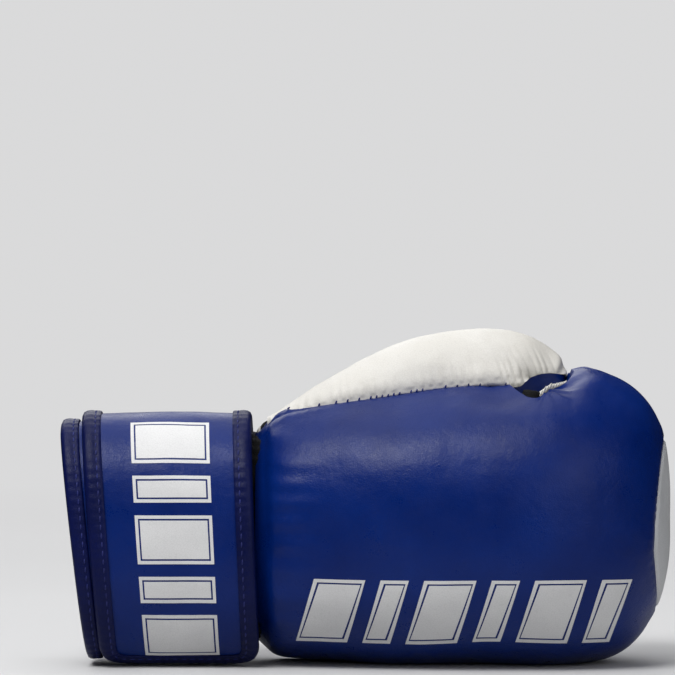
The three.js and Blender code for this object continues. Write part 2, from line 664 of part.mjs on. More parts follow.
// [y, z] at an angle round the wrist and a height along the outward normal.
function cuffYZ(degrees, height) {
  const angle = THREE.MathUtils.degToRad(degrees);
  const power = 2 / CUFF_EXPONENT;
  const y = -CUFF_HALF_Y * signedPow(Math.cos(angle), power);
  const z = CUFF_HALF_Z * signedPow(Math.sin(angle), power);
  const normalY = signedPow(y / CUFF_HALF_Y, CUFF_EXPONENT - 1) / CUFF_HALF_Y;
  const normalZ = signedPow(z / CUFF_HALF_Z, CUFF_EXPONENT - 1) / CUFF_HALF_Z;
  const length = Math.hypot(normalY, normalZ);
  return [y + (normalY / length) * height, CUFF_CENTRE_Z + z + (normalZ / length) * height];
}

function cuffPoint([fromEnd, height], degrees) {
  const [y, z] = cuffYZ(degrees, height);
  const [, surfaceZ] = cuffYZ(degrees, 0);
  const start = wristX(surfaceZ);
  return new THREE.Vector3(start + fromEnd * ((CUFF_END - start) / CUFF_END), y, z);
}

// A section carried all the way round the wrist.
function cuffRing(section) {
  const angles = steps(0, 360, CUFF_SEGMENTS).slice(0, -1);
  const points = angles.flatMap((degrees) => section.map((s) => cuffPoint(s, degrees)));
  return solid(points, wallTris(angles.length, section.length, true));
}

function addCuff() {
  const palmSidePrism = (outline) => prismY(outline, 5, 80);
  const thumbFlap = palmSidePrism(THUMB_FLAP);
  const littleFlap = palmSidePrism(LITTLE_FLAP);
  const thumbFlapCut = palmSidePrism(grow(THUMB_FLAP, FLAP_CLEARANCE));
  const littleFlapCut = palmSidePrism(grow(LITTLE_FLAP, FLAP_CLEARANCE));
  const slit = palmSidePrism(SLIT);
  for (const [layer, section, layerMaterial] of CUFF_LAYERS) {
    const ring = cuffRing(section);
    const back = ring.subtract(thumbFlapCut).subtract(littleFlapCut).subtract(slit);
    addLargest(`cuff_back_${layer}`, back, layerMaterial);
    addLargest(`cuff_thumb_flap_${layer}`, ring.intersect(thumbFlap), layerMaterial);
    addLargest(`cuff_little_flap_${layer}`, ring.intersect(littleFlap), layerMaterial);
  }
  // Loop tape on the back of the cuff.
  const loopTape = sweep(rect(22, 78, 0.25, 1.0), cuffPoint, degreesBetween(-66, 40));
  add("cuff_loop_tape", loopTape, BLACK);
}

// ---------------------------------------------------------------- strap
// Angles along the strap, on the cuff's scale.
const STRAP_ROOT = 232;
const STRAP_SPLIT_PALM = 128;
const STRAP_SPLIT_BACK = 52;
const STRAP_TIP = -76;
const STRAP_HALF_GAP = 0.35; // degrees left out each side of a split
// Sections: [across: 0 wrist edge, 1 hand edge; extra x in mm; height above the cuff surface]
const STRAP_LEATHER = [[0, 1.4, 2.2], [1, -1.4, 2.2], [1, -1.4, 4.0], [0, 1.4, 4.0]];
const STRAP_HOOKS = [[0, 9, 1.25], [1, -9, 1.25], [1, -9, 1.9], [0, 9, 1.9]];
const STRAP_END = [[0, 0, 5.0], [0, 0, 1.2], [1, 0, 1.2], [1, 0, 5.0]];
const STRAP_END_FACE = [[0, 0.5, 5.0], [0, 0.5, 4.3], [1, -0.5, 4.3], [1, -0.5, 5.0]];
// Tape folded round the wrist edge, and its mirror round the hand edge.
const WRIST_BINDING = [
  [0, 9, 5.0], [0, 0, 5.0], [0, 0, 1.2], [0, 6, 1.2],
  [0, 6, 1.9], [0, 1, 1.9], [0, 1, 4.3], [0, 9, 4.3],
];
const HAND_BINDING = [WRIST_BINDING[0], ...WRIST_BINDING.slice(1).reverse()]
  .map(([across, extra, height]) => [1 - across, -extra, height]);

function strapPoint([across, extra, height], degrees) {
  const [y, z] = cuffYZ(degrees, height);
  const [, surfaceZ] = cuffYZ(degrees, 0);
  const lean = 1 - surfaceZ / 120; // the strap leans with the open end
  const wristEdge = 9.6 + 10 * lean;
  const handEdge = 89.7 + 4.6 * lean;
  const x = wristEdge + (handEdge - wristEdge) * across + extra;
  return new THREE.Vector3(x, y, Math.max(z, 0)); // flattened where it rests
}

function strapSweep(section, from, to) {
  const nominalWidth = 80; // only lays the section out flat for its caps
  const flatten = ([across, extra, height]) => [across * nominalWidth + extra, height];
  return sweep(section, strapPoint, degreesBetween(from, to), flatten);
}

function addStrap() {
  const spans = [
    ["palm", STRAP_ROOT, STRAP_SPLIT_PALM + STRAP_HALF_GAP],
    ["side", STRAP_SPLIT_PALM - STRAP_HALF_GAP, STRAP_SPLIT_BACK + STRAP_HALF_GAP],
  ];
  for (const [span, from, to] of spans) {
    add(`strap_${span}_leather`, strapSweep(STRAP_LEATHER, from, to), BLUE);
    add(`strap_${span}_binding_wrist`, strapSweep(WRIST_BINDING, from, to), NAVY);
    add(`strap_${span}_binding_hand`, strapSweep(HAND_BINDING, from, to), NAVY);
  }
  const backStart = STRAP_SPLIT_BACK - STRAP_HALF_GAP;
  add("strap_back_leather", strapSweep(STRAP_LEATHER, backStart, STRAP_TIP + 2), BLUE);
  // The tab end: both edges and the end joined in one binding.
  const binding = strapSweep(WRIST_BINDING, backStart, STRAP_TIP + 1)
    .add(strapSweep(HAND_BINDING, backStart, STRAP_TIP + 1))
    .add(strapSweep(STRAP_END, STRAP_TIP + 1.4, STRAP_TIP))
    .add(strapSweep(STRAP_END_FACE, STRAP_TIP + 12, STRAP_TIP + 1));
  addLargest("strap_back_binding", binding, NAVY);
  add("strap_hook_tape", strapSweep(STRAP_HOOKS, 14, -62), BLACK);
}

// ---------------------------------------------------------------- assembly
addBack();
addPalmPanels();
addSlitBinding();
addHandLining();
addGripBar();
addFingerRoll();
addThumb();
addCuff();
addStrap();

export default glove;
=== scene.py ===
"""Padded striking glove: leather skins, palm panels, thumb, cuff, strap, bindings and stitches.

Sizes are millimetres in the glove's own layout. x is 0 at the open end of the cuff and grows
towards the knuckles. y is 0 in the middle, with the back of the hand at -y and the palm at +y.
z is 0 at the floor, with the little finger low and the thumb on top.
to_row() turns these into the frame of the CAD pieces, in metres.
"""

import math

import bpy
import numpy as np
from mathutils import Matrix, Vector
from mathutils.bvhtree import BVHTree
from mathutils.geometry import delaunay_2d_cdt
from mathutils.kdtree import KDTree


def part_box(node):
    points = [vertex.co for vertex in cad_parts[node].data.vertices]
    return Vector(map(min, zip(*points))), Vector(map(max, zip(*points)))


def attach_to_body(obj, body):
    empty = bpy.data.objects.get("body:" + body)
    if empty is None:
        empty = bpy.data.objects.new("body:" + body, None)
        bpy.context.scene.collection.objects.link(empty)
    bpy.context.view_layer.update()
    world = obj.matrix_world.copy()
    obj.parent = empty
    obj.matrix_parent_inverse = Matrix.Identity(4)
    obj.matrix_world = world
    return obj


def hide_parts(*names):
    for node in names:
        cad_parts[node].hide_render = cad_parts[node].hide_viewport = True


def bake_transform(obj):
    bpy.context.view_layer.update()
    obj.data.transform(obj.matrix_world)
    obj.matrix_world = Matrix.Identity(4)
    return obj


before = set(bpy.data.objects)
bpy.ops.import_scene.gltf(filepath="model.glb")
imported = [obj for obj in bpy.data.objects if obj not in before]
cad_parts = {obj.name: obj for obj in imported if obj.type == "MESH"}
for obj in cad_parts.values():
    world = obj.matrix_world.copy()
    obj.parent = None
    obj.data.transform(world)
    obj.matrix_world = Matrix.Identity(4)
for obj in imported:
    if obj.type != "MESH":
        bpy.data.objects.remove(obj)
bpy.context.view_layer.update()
OPEN_END = -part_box("cuff_back_binding")[0].x * 1000.0  # from the CAD frame's x 0 to the open end

# ------------------------------------------------------------------ body tables
# Skin of the back and the finger roll, wrist to lip: one superellipse section per row.
MITT = np.array([
    # outer x, outer y, edge x, edge y, top z, bottom z
    [92, -31, 92, 20, 108.5, 10.5], [96, -34.2, 96, 22.5, 113, 6.5],
    [100.5, -40, 100.5, 25, 119, 2.6], [109, -44.5, 109, 26, 123.4, 0.4],
    [126, -48.5, 126, 26, 128.5, -0.8], [148, -53, 148, 25, 132, -1.6],
    [172, -57, 171, 23.2, 134.5, -2], [196, -60, 193, 21.4, 136, -2],
    [217, -61, 211, 19, 137, -2], [236, -58.5, 224, 13.2, 138.5, -1.6],
    [253, -52, 233, 9.4, 140.3, -1], [267.5, -41, 239, 6.8, 141.3, -0.6],
    [278.5, -26.5, 242.3, 5, 141.5, -0.4], [285, -9.5, 244, 4, 141.5, -0.3],
    [286.5, 8, 244.6, 5.4, 141.3, -0.3], [284.5, 25, 244, 7.6, 140.8, -0.4],
    [278, 40.5, 242.4, 9.4, 140, -0.5], [266.5, 52.5, 240, 11.4, 138.5, -0.6],
    [251.5, 59.5, 237, 13.2, 136.5, 0.2], [235, 61, 233.5, 15, 134, 1.6],
    [219, 57.5, 230, 16.6, 131, 3.6], [207, 49.5, 226.5, 18.2, 127, 6.5],
    [200.2, 39.5, 223, 19.8, 122.5, 10.5], [199.6, 30, 220, 21, 118, 14],
    # the lip turns in
    [202.4, 23.6, 219.5, 21.6, 116, 16], [208, 21.6, 219.5, 22.4, 113, 19],
    [213, 25, 220.5, 24.4, 110, 22], [216, 31, 222, 28, 107, 25],
], float)
MITT_POWER = 2.5
THUMB = np.array([
    # x, centre y, centre z, half y, half z
    [97, 3, 113.5, 6, 3.5], [104, 4, 115, 12, 6], [113, 4.6, 117.5, 16, 8.6],
    [126, 5.4, 121.2, 19, 12.6], [140, 6.2, 125.2, 21, 16.6], [156, 7.2, 129.2, 22.2, 20],
    [173, 8.2, 132.2, 22.6, 22.4], [189, 9.2, 134, 22.4, 23.6], [204, 10.2, 134.8, 21.6, 23.4],
    [217, 11, 135, 19.6, 21], [227.5, 11.6, 134.8, 16, 16.8], [234.5, 12, 134.8, 11, 11.4],
    [238.2, 12, 134.9, 5.6, 5.8], [239.5, 12, 135, 0.05, 0.05],
], float)
# The cuff's section is a superellipse about this height.
CUFF_HALF_Y, CUFF_HALF_Z, CUFF_Z, CUFF_POWER = 36.0, 55.3, 58.8, 2.3
CUFF_END = 87.0
STRAP_WIDTH = 80.0
PALM_TOP = 106


# ------------------------------------------------------------------ number helpers
def smooth(share):
    """Eases from 0 to 1 while share goes from 0 to 1."""
    share = np.clip(share, 0, 1)
    return share * share * (3 - 2 * share)


def rise(value, start, span):
    """0 up to start, easing to 1 over the span after it."""
    return smooth((value - start) / span)


def fall(value, end, span):
    """1, easing over the last span to 0 at end."""
    return smooth((end - value) / span)


def bell(value, width, centre=0.0):
    return np.exp(-((value - centre) / width) ** 2)


def signed_power(value, power):
    return np.sign(value) * np.abs(value) ** power


def unit(vectors):
    return vectors / np.maximum(np.linalg.norm(vectors, axis=-1, keepdims=True), 1e-9)


def columns(points):
    return np.moveaxis(points, -1, 0)


def widen(values, count):
    """Repeats one value per row over count columns."""
    return np.repeat(values[:, None], count, 1)


def running(steps):
    return np.concatenate([[0], np.cumsum(steps)])


def arc(path):
    """Length along a path at each point."""
    return running(np.linalg.norm(np.diff(path, axis=0), axis=1))


def along(place, stations, rows):
    """Interpolates every column of rows."""
    return np.stack([np.interp(place, stations, rows[:, k]) for k in range(rows.shape[1])], -1)


def evenly(values, lengths, count):
    """Values at equal steps of length."""
    return np.interp(np.linspace(0, lengths[-1], count), lengths, values)


def spline(rows, place):
    """Catmull-Rom curve through the rows; place counts in rows."""
    rows = np.asarray(rows, float)
    last = len(rows) - 1
    place = np.clip(np.asarray(place, float), 0, last)
    i = np.minimum(np.floor(place).astype(int), last - 1)
    u = (place - i)[..., None]
    before, start = rows[np.maximum(i - 1, 0)], rows[i]
    end, after = rows[i + 1], rows[np.minimum(i + 2, last)]
    return 0.5 * (2 * start + (end - before) * u
                  + (2 * before - 5 * start + 4 * end - after) * u * u
                  + (3 * start - before - 3 * end + after) * u ** 3)


def blur(values, weights):
    """Weighted moving average along the first axis."""
    if values.ndim == 2:
        return np.stack([blur(column, weights) for column in values.T], -1)
    padded = np.pad(values, len(weights) // 2, mode="edge")
    return np.convolve(padded, weights / weights.sum(), mode="valid")


class Waves:
    """Smooth repeatable noise: a sum of plane waves of about one wavelength."""

    def __init__(self, wavelength, count=14, seed=0):
        rng = np.random.default_rng(seed)
        heading = unit(rng.normal(size=(count, 3)))
        self.waves = heading * (2 * np.pi / (wavelength * rng.uniform(0.7, 1.5, (count, 1))))
        self.phase = rng.uniform(0, 2 * np.pi, count)
        self.scale = 1.0 / math.sqrt(count / 2)

    def __call__(self, points):
        total = np.sin(points.reshape(-1, 3) @ self.waves.T + self.phase).sum(1)
        return total.reshape(points.shape[:-1]) * self.scale


# ------------------------------------------------------------------ surfaces
def mitt(row, turn):
    """Skin point: row counts along MITT, turn goes 0 to 1 from the top edge to the floor edge."""
    outer_x, outer_y, edge_x, edge_y, top, bottom = columns(spline(MITT, row))
    angle = np.pi * np.clip(turn, 0, 1)
    bulge = np.maximum(np.sin(angle), 0) ** (2 / MITT_POWER)
    z = (top + bottom) / 2 + (top - bottom) / 2 * signed_power(np.cos(angle), 2 / MITT_POWER)
    # the upper part of the finger roll moves towards +x
    shift = rise(row, 15.5, 6.5) * 26 * rise(z, 50, 55) * np.minimum(1, bulge * 1.6)
    return np.stack([edge_x + (outer_x - edge_x) * bulge + shift,
                     edge_y + (outer_y - edge_y) * bulge, np.maximum(z, 0)], -1)


def mitt_normal(row, turn):
    row = np.asarray(row, float)
    turn = np.clip(np.asarray(turn, float), 0.012, 0.988)
    ahead, behind = np.minimum(row + 0.03, len(MITT) - 1), np.maximum(row - 0.03, 0)
    by_row = mitt(ahead, turn) - mitt(behind, turn)
    by_turn = mitt(row, turn + 0.005) - mitt(row, turn - 0.005)
    return unit(np.cross(by_turn, by_row))


def level(z, top, bottom):
    """-1 at the bottom of a section, 1 at its top."""
    return (z - (top + bottom) / 2) / ((top - bottom) / 2)


def inside_mitt(x, y, z):
    """Below 0 inside the back of the mitt, wrist to the first knuckles."""
    row = np.interp(x, MITT[:9, 2], np.arange(9))
    _, outer_y, _, edge_y, top, bottom = columns(spline(MITT, row))
    depth = np.maximum((edge_y - y) / (edge_y - outer_y), 0)
    return depth ** MITT_POWER + np.abs(level(z, top, bottom)) ** MITT_POWER - 1


def find_on_skin(place, z, row, rows, column, limit, tries):
    """Solves for the row and turn of the skin point with this z and this x (column 0) or y (1)."""
    table = spline(MITT, rows)
    outer, edge = table[:, column], table[:, column + 2]
    for _ in range(tries):
        top, bottom = columns(spline(MITT, row))[4:]
        height = np.clip(level(z, top, bottom), -limit, limit)
        turn = np.arccos(signed_power(height, MITT_POWER / 2)) / math.pi
        bulge = np.sin(math.pi * turn) ** (2 / MITT_POWER)
        curves = edge[None] + (outer - edge)[None] * bulge.reshape(-1, 1)
        row = np.array([np.interp(a, curve, rows) for a, curve in zip(place.reshape(-1), curves)])
        row = row.reshape(place.shape)
    return row, turn


def thumb(row, angle):
    """Thumb point: row counts along THUMB; angle 0 faces the palm, a quarter turn faces up."""
    x, centre_y, centre_z, half_y, half_z = columns(spline(THUMB, row))
    y, z = centre_y + half_y * np.cos(angle), centre_z + half_z * np.sin(angle)
    return np.stack([x, y, z], -1)


def cuff_ring(degrees, off):
    """y and z on the cuff's section; 0 degrees is the middle of the back, 90 the top."""
    angle, power = np.radians(degrees), 2 / CUFF_POWER
    y = -CUFF_HALF_Y * signed_power(np.cos(angle), power)
    z = CUFF_HALF_Z * signed_power(np.sin(angle), power)
    normal_y = signed_power(y / CUFF_HALF_Y, CUFF_POWER - 1) / CUFF_HALF_Y
    normal_z = signed_power(z / CUFF_HALF_Z, CUFF_POWER - 1) / CUFF_HALF_Z
    size = np.maximum(np.hypot(normal_y, normal_z), 1e-9)
    return y + normal_y / size * off, CUFF_Z + z + normal_z / size * off


# length round the wrist, 0 at the middle of the back
ring_degrees = np.linspace(-180, 300, 9601)
ring_y, ring_z = cuff_ring(ring_degrees, 0.0)
ring_run = running(np.hypot(np.diff(ring_y), np.diff(ring_z)))
ring_run -= np.interp(0, ring_degrees, ring_run)


def degrees_at(run):
    return np.interp(run, ring_run, ring_degrees)


def run_at(degrees):
    return float(np.interp(degrees, ring_degrees, ring_run))


def cuff_at(reach, run, off):
    """reach mm from the open end, run mm round the wrist, off mm out of the surface."""
    degrees = degrees_at(run)
    y, z = cuff_ring(degrees, off)
    # the open end is cut slanting
    start = np.maximum(12.5 * (1 - cuff_ring(degrees, 0.0)[1] / 112), 0)
    return np.stack([start + reach * (CUFF_END - start) / CUFF_END, y, np.maximum(z, 0)], -1)


def cuff_inside(reach, run, off):
    return cuff_at(reach, run, -3.2 - off)


def strap_at(width, run, off):
    """width mm from the strap's wrist edge, run mm round the wrist, off mm out of the cuff."""
    degrees = degrees_at(run)
    y, z = cuff_ring(degrees, off)
    low = 1 - cuff_ring(degrees, 0.0)[1] / 120
    left, right = 9.6 + 10 * low, 89.7 + 4.6 * low
    return np.stack([left + (right - left) * width / STRAP_WIDTH, y, np.maximum(z, 0)], -1)


def strap_inside(width, run, off):
    return strap_at(width, run, 2.2 - off)


edge_rows = np.linspace(0, 10.5, 400)
edge_table = spline(MITT, edge_rows)


def palm_low(x):
    """Lower edge of the palm."""
    return 9 + (x - 94) * 0.09


def palm_y(x, z):
    edge = np.interp(x, edge_table[:, 2], edge_table[:, 3])
    low = palm_low(x)
    middle, half = (PALM_TOP + low) / 2, (PALM_TOP - low) / 2 + 5
    aside = np.minimum(np.abs(z - middle) / half, 1)
    crown = 7.5 * (1 - rise(x, 110, 90)) + 2.2
    return edge - 1.4 + crown * (1 - aside ** 2.4)


def palm_at(x, z, off):
    x, z = np.asarray(x, float), np.asarray(z, float)
    y = palm_y(x, z)
    step = 0.5
    slope_x = -(palm_y(x + step, z) - palm_y(x - step, z)) / (2 * step)
    slope_z = -(palm_y(x, z + step) - palm_y(x, z - step)) / (2 * step)
    normal = unit(np.stack([slope_x, np.ones_like(x), slope_z], -1))
    return np.stack([x, y, z], -1) + normal * np.asarray(off)[..., None]


# ------------------------------------------------------------------ flat paths
def resample(path, step, closed=False):
    path = np.asarray(path, float)
    if closed:
        path = np.vstack([path, path[:1]])
    run = arc(path)
    count = max(2, int(round(run[-1] / step)))
    even = along(np.linspace(0, run[-1], count + 1), run, path)
    return even[:-1] if closed else even


def rounded(path, step=0.5):
    """A smooth curve through the points."""
    last = len(path) - 1
    return resample(spline(path, np.linspace(0, last, last * 14 + 1)), step)


def side_normals(path, closed=False):
    """Left-hand normals of a flat path."""
    if closed:
        heading = np.roll(path, -1, 0) - np.roll(path, 1, 0)
    else:
        heading = np.gradient(path, axis=0)
    heading = unit(heading)
    return np.stack([-heading[:, 1], heading[:, 0]], 1)


def join(*parts):
    return np.vstack([np.asarray(part, float).reshape(-1, 2) for part in parts])


def offset(path, distance):
    """An open flat path moved to its left, loops removed."""
    path = resample(path, 0.4)
    moved = path + side_normals(path) * distance
    keep = nearest(moved, path)[0] > abs(distance) - 0.05
    return resample(moved[keep], 0.4)


def round_corner(before, corner, after, radius, count=14):
    before, corner, after = [np.asarray(v, float) for v in (before, corner, after)]
    start = corner + unit(before - corner) * radius
    end = corner + unit(after - corner) * radius
    t = np.linspace(0, 1, count)[:, None]
    return (1 - t) ** 2 * start + 2 * t * (1 - t) * corner + t ** 2 * end


def in_poly(points, outline):
    x, y = points[:, 0], points[:, 1]
    inside = np.zeros(len(points), bool)
    for (x1, y1), (x2, y2) in zip(outline, np.roll(outline, -1, 0)):
        spans = (y1 > y) != (y2 > y)
        inside ^= spans & (x < (x2 - x1) * (y - y1) / (y2 - y1 + 1e-12) + x1)
    return inside


def in_space(points):
    """A list of 3-D points; flat ones get a third value of 0."""
    points = points.reshape(-1, points.shape[-1])
    if points.shape[1] == 2:
        points = np.hstack([points, np.zeros((len(points), 1))])
    return points


def nearest(points, line):
    """Distance from each point to a dense line, and the length along it."""
    tree = KDTree(len(line))
    for i, point in enumerate(in_space(line)):
        tree.insert(point, i)
    tree.balance()
    run = arc(line)
    places = in_space(points)
    dist, where = np.zeros(len(places)), np.zeros(len(places))
    for i, point in enumerate(places):
        _, j, dist[i] = tree.find(point)
        where[i] = run[j]
    return dist.reshape(points.shape[:-1]), where.reshape(points.shape[:-1])


# ------------------------------------------------------------------ mesh helpers
def to_row(points):
    points = np.array(points, float).reshape(-1, 3).copy()
    points[:, 0] -= OPEN_END
    return points / 1000.0


def make(name, verts, faces, material):
    mesh = bpy.data.meshes.new(name)
    faces = [tuple(int(i) for i in face) for face in faces]
    mesh.from_pydata(to_row(verts).tolist(), [], faces)
    mesh.update()
    mesh.polygons.foreach_set("use_smooth", [True] * len(mesh.polygons))
    piece = bpy.data.objects.new(name, mesh)
    bpy.context.scene.collection.objects.link(piece)
    mesh.materials.append(material)
    return piece


def verts_of(piece):
    """A piece's vertices in the glove's layout."""
    flat = np.empty(len(piece.data.vertices) * 3)
    piece.data.vertices.foreach_get("co", flat)
    points = flat.reshape(-1, 3) * 1000
    points[:, 0] += OPEN_END
    return points


def grid_faces(rows, cols, flip=False, wrap=False):
    """Quads of a grid; wrap joins the last column to the first."""
    i, j = np.meshgrid(np.arange(rows - 1), np.arange(cols if wrap else cols - 1), indexing="ij")
    k = (j + 1) % cols
    faces = [i * cols + j, (i + 1) * cols + j, (i + 1) * cols + k, i * cols + k]
    faces = np.stack(faces, -1).reshape(-1, 4)
    return faces[:, ::-1] if flip else faces


def sheet(name, grid, material, flip=False):
    """A one-sided piece from a grid of points."""
    return make(name, grid.reshape(-1, 3), grid_faces(*grid.shape[:2], flip=flip), material)


def slab(name, top, bottom, material, flip=False):
    """A closed piece from two matching grids."""
    rows, cols = top.shape[:2]
    size = rows * cols
    faces = [*grid_faces(rows, cols, flip), *(grid_faces(rows, cols, not flip) + size)]
    rim = [i * cols for i in range(rows)]
    rim += [(rows - 1) * cols + j for j in range(1, cols)]
    rim += [i * cols + cols - 1 for i in range(rows - 2, -1, -1)]
    rim += list(range(cols - 2, 0, -1))
    for a, b in zip(rim, rim[1:] + rim[:1]):
        face = (a, a + size, b + size, b)
        faces.append(face[::-1] if flip else face)
    verts = np.vstack([top.reshape(-1, 3), bottom.reshape(-1, 3)])
    piece = make(name, verts, faces, material)
    piece.data.set_sharp_from_angle(angle=math.radians(48))
    return piece


def grid_normals(grid, row, col, axis):
    """Normals of a grid, turned so that the one at (row, col) is positive along axis."""
    normals = unit(np.cross(np.gradient(grid, axis=1), np.gradient(grid, axis=0)))
    return -normals if normals[row, col, axis] < 0 else normals


def triangulate(points, edges, outline, hole=None):
    """Flat triangles, all anticlockwise, that lie in the outline and out of the hole."""
    found = delaunay_2d_cdt([Vector(p) for p in points], edges, [], 0, 1e-5)
    flat = np.array([tuple(v) for v in found[0]])
    tris = np.array([face for face in found[2] if len(face) == 3])
    centres = flat[tris].mean(1)
    keep = in_poly(centres, outline)
    if hole is not None:
        keep &= ~in_poly(centres, hole)
    tris = tris[keep]
    a, b, c = (flat[tris[:, k]] for k in range(3))
    area = (b[:, 0] - a[:, 0]) * (c[:, 1] - a[:, 1]) - (b[:, 1] - a[:, 1]) * (c[:, 0] - a[:, 0])
    tris[area < 0] = tris[area < 0][:, ::-1]
    return flat, tris


def drop_unused(points, faces):
    used = np.unique(faces)
    remap = -np.ones(len(points), int)
    remap[used] = np.arange(len(used))
    return points[used], remap[faces]


def panel(name, outline, surface, material, top, bottom, edge, spacing, bump=None, flip=False):
    """A soft sheet over a flat outline, with edges rolled over a width of edge.

    surface(u, v, off) gives millimetres; bump(flat points, distance to the edge) adds height.
    """
    outline = np.asarray(outline, float)
    after = np.roll(outline, -1, 0)
    if 0.5 * np.sum(outline[:, 0] * after[:, 1] - after[:, 0] * outline[:, 1]) < 0:
        outline = outline[::-1]
    ring = resample(outline, spacing * 0.7, True)
    inwards = side_normals(ring, True)
    loops = [ring] + [ring + inwards * edge * k for k in (0.12, 0.45, 1.0)]
    edges = [(k, (k + 1) % len(ring)) for k in range(len(ring))]
    dense = resample(outline, 0.5, True)
    x0, y0 = outline.min(0)
    x1, y1 = outline.max(0)
    columns_x, rows_y = np.arange(x0, x1, spacing), np.arange(y0, y1, spacing * 0.866)
    fill = np.array([(x + (spacing / 2 if k % 2 else 0), y)
                     for k, y in enumerate(rows_y) for x in columns_x])
    fill = fill[in_poly(fill, outline)]
    fill = fill[nearest(fill, dense)[0] > edge + spacing * 0.45]
    flat, tris = drop_unused(*triangulate(np.vstack(loops + [fill]), edges, outline))
    dist = nearest(flat, dense)[0]
    lift = np.sqrt(np.clip(1 - (1 - np.clip(dist / edge, 0, 1)) ** 2, 0, 1))
    extra = bump(flat, dist) if bump is not None else 0
    height = bottom + (top - bottom) * lift + extra * lift
    count = len(flat)
    upper = surface(flat[:, 0], flat[:, 1], height)
    lower = surface(flat[:, 0], flat[:, 1], np.full(count, bottom))
    # both sides share the vertices of the rim
    under = np.where(dist < 1e-3, np.arange(count), np.arange(count) + count)
    faces = np.vstack([tris, under[tris][:, ::-1]])
    if flip:
        faces = faces[:, ::-1]
    return make(name, *drop_unused(np.vstack([upper, lower]), faces), material)


def tape(name, path, surface, profile, material, wobble):
    """Carries a closed profile [(inwards, height), ...] along a path, inwards to its left."""
    profile = np.asarray(profile, float)
    rows = []
    for point, side, run in zip(path, side_normals(path), arc(path)):
        flat = point + side * profile[:, :1]
        wave = wobble * np.sin(2 * np.pi * run / 4.4) * np.clip(profile[:, 0] / 4, 0, 1)
        rows.append(surface(flat[:, 0], flat[:, 1], profile[:, 1] + wave))
    rows = np.stack(rows)
    count, around = rows.shape[:2]
    end_cap = tuple((count - 1) * around + j for j in range(around))[::-1]
    faces = [*grid_faces(count, around, wrap=True), tuple(range(around)), end_cap]
    return make(name, rows.reshape(-1, 3), faces, material)


# place along half a thread, share of its radius
THREAD_RINGS = [(-1.0, 0.0), (-0.8, 0.62), (-0.35, 1.0), (0.35, 1.0), (0.8, 0.62), (1.0, 0.0)]
THREAD_SIDES = 6
# each quad starts at its own first corner
THREAD_FACES = np.roll(grid_faces(len(THREAD_RINGS), THREAD_SIDES, flip=True, wrap=True), 1, 1)


def stitches(name, lines, material, length, pitch, radius, sink):
    """Short threads along 3-D lines, each line given as (points, normals)."""
    verts, faces = [], []
    for points, normals in lines:
        run = arc(points)
        count = int(run[-1] / pitch)
        if count < 1:
            continue
        middle = (np.arange(count) + 0.5) * run[-1] / count
        centres = along(middle, run, points)
        heading = unit(along(middle + 0.5, run, points) - along(middle - 0.5, run, points))
        outward = unit(along(middle, run, normals))
        sideways = unit(np.cross(heading, outward))
        outward = np.cross(sideways, heading)
        for centre, ahead, out, side in zip(centres, heading, outward, sideways):
            ahead = unit(ahead + side * 0.10)  # each thread lies a little askew
            across = np.cross(ahead, out)
            faces += list(THREAD_FACES + len(verts))
            for place, share in THREAD_RINGS:
                for k in range(THREAD_SIDES):
                    angle = 2 * np.pi * k / THREAD_SIDES
                    rise_out = (math.sin(angle) * share * radius * 0.8 - sink
                                - 0.16 * abs(place))
                    verts.append(centre + ahead * place * length / 2
                                 + across * math.cos(angle) * share * radius + out * rise_out)
    return make(name, np.array(verts), faces, material)


def cross_stitches(name, points, normals, material, pitch, length, radius):
    """Short threads that cross a seam."""
    run = arc(points)
    lines = []
    for place in np.arange(pitch / 2, run[-1], pitch):
        centre = along(place, run, points)
        heading = unit(along(place + 0.4, run, points) - along(place - 0.4, run, points))
        normal = unit(along(place, run, normals))
        across = unit(np.cross(normal, heading) + heading * 0.35)
        ends = [centre - across * length / 2, centre + across * length / 2]
        lines.append((np.array(ends), np.array([normal, normal])))
    return stitches(name, lines, material, length=length, pitch=length, radius=radius, sink=-0.1)


def on_surface(path, surface, off):
    """A flat path put on a surface, as (points, normals)."""
    points = surface(path[:, 0], path[:, 1], off)
    return points, unit(surface(path[:, 0], path[:, 1], off + 1.0) - points)


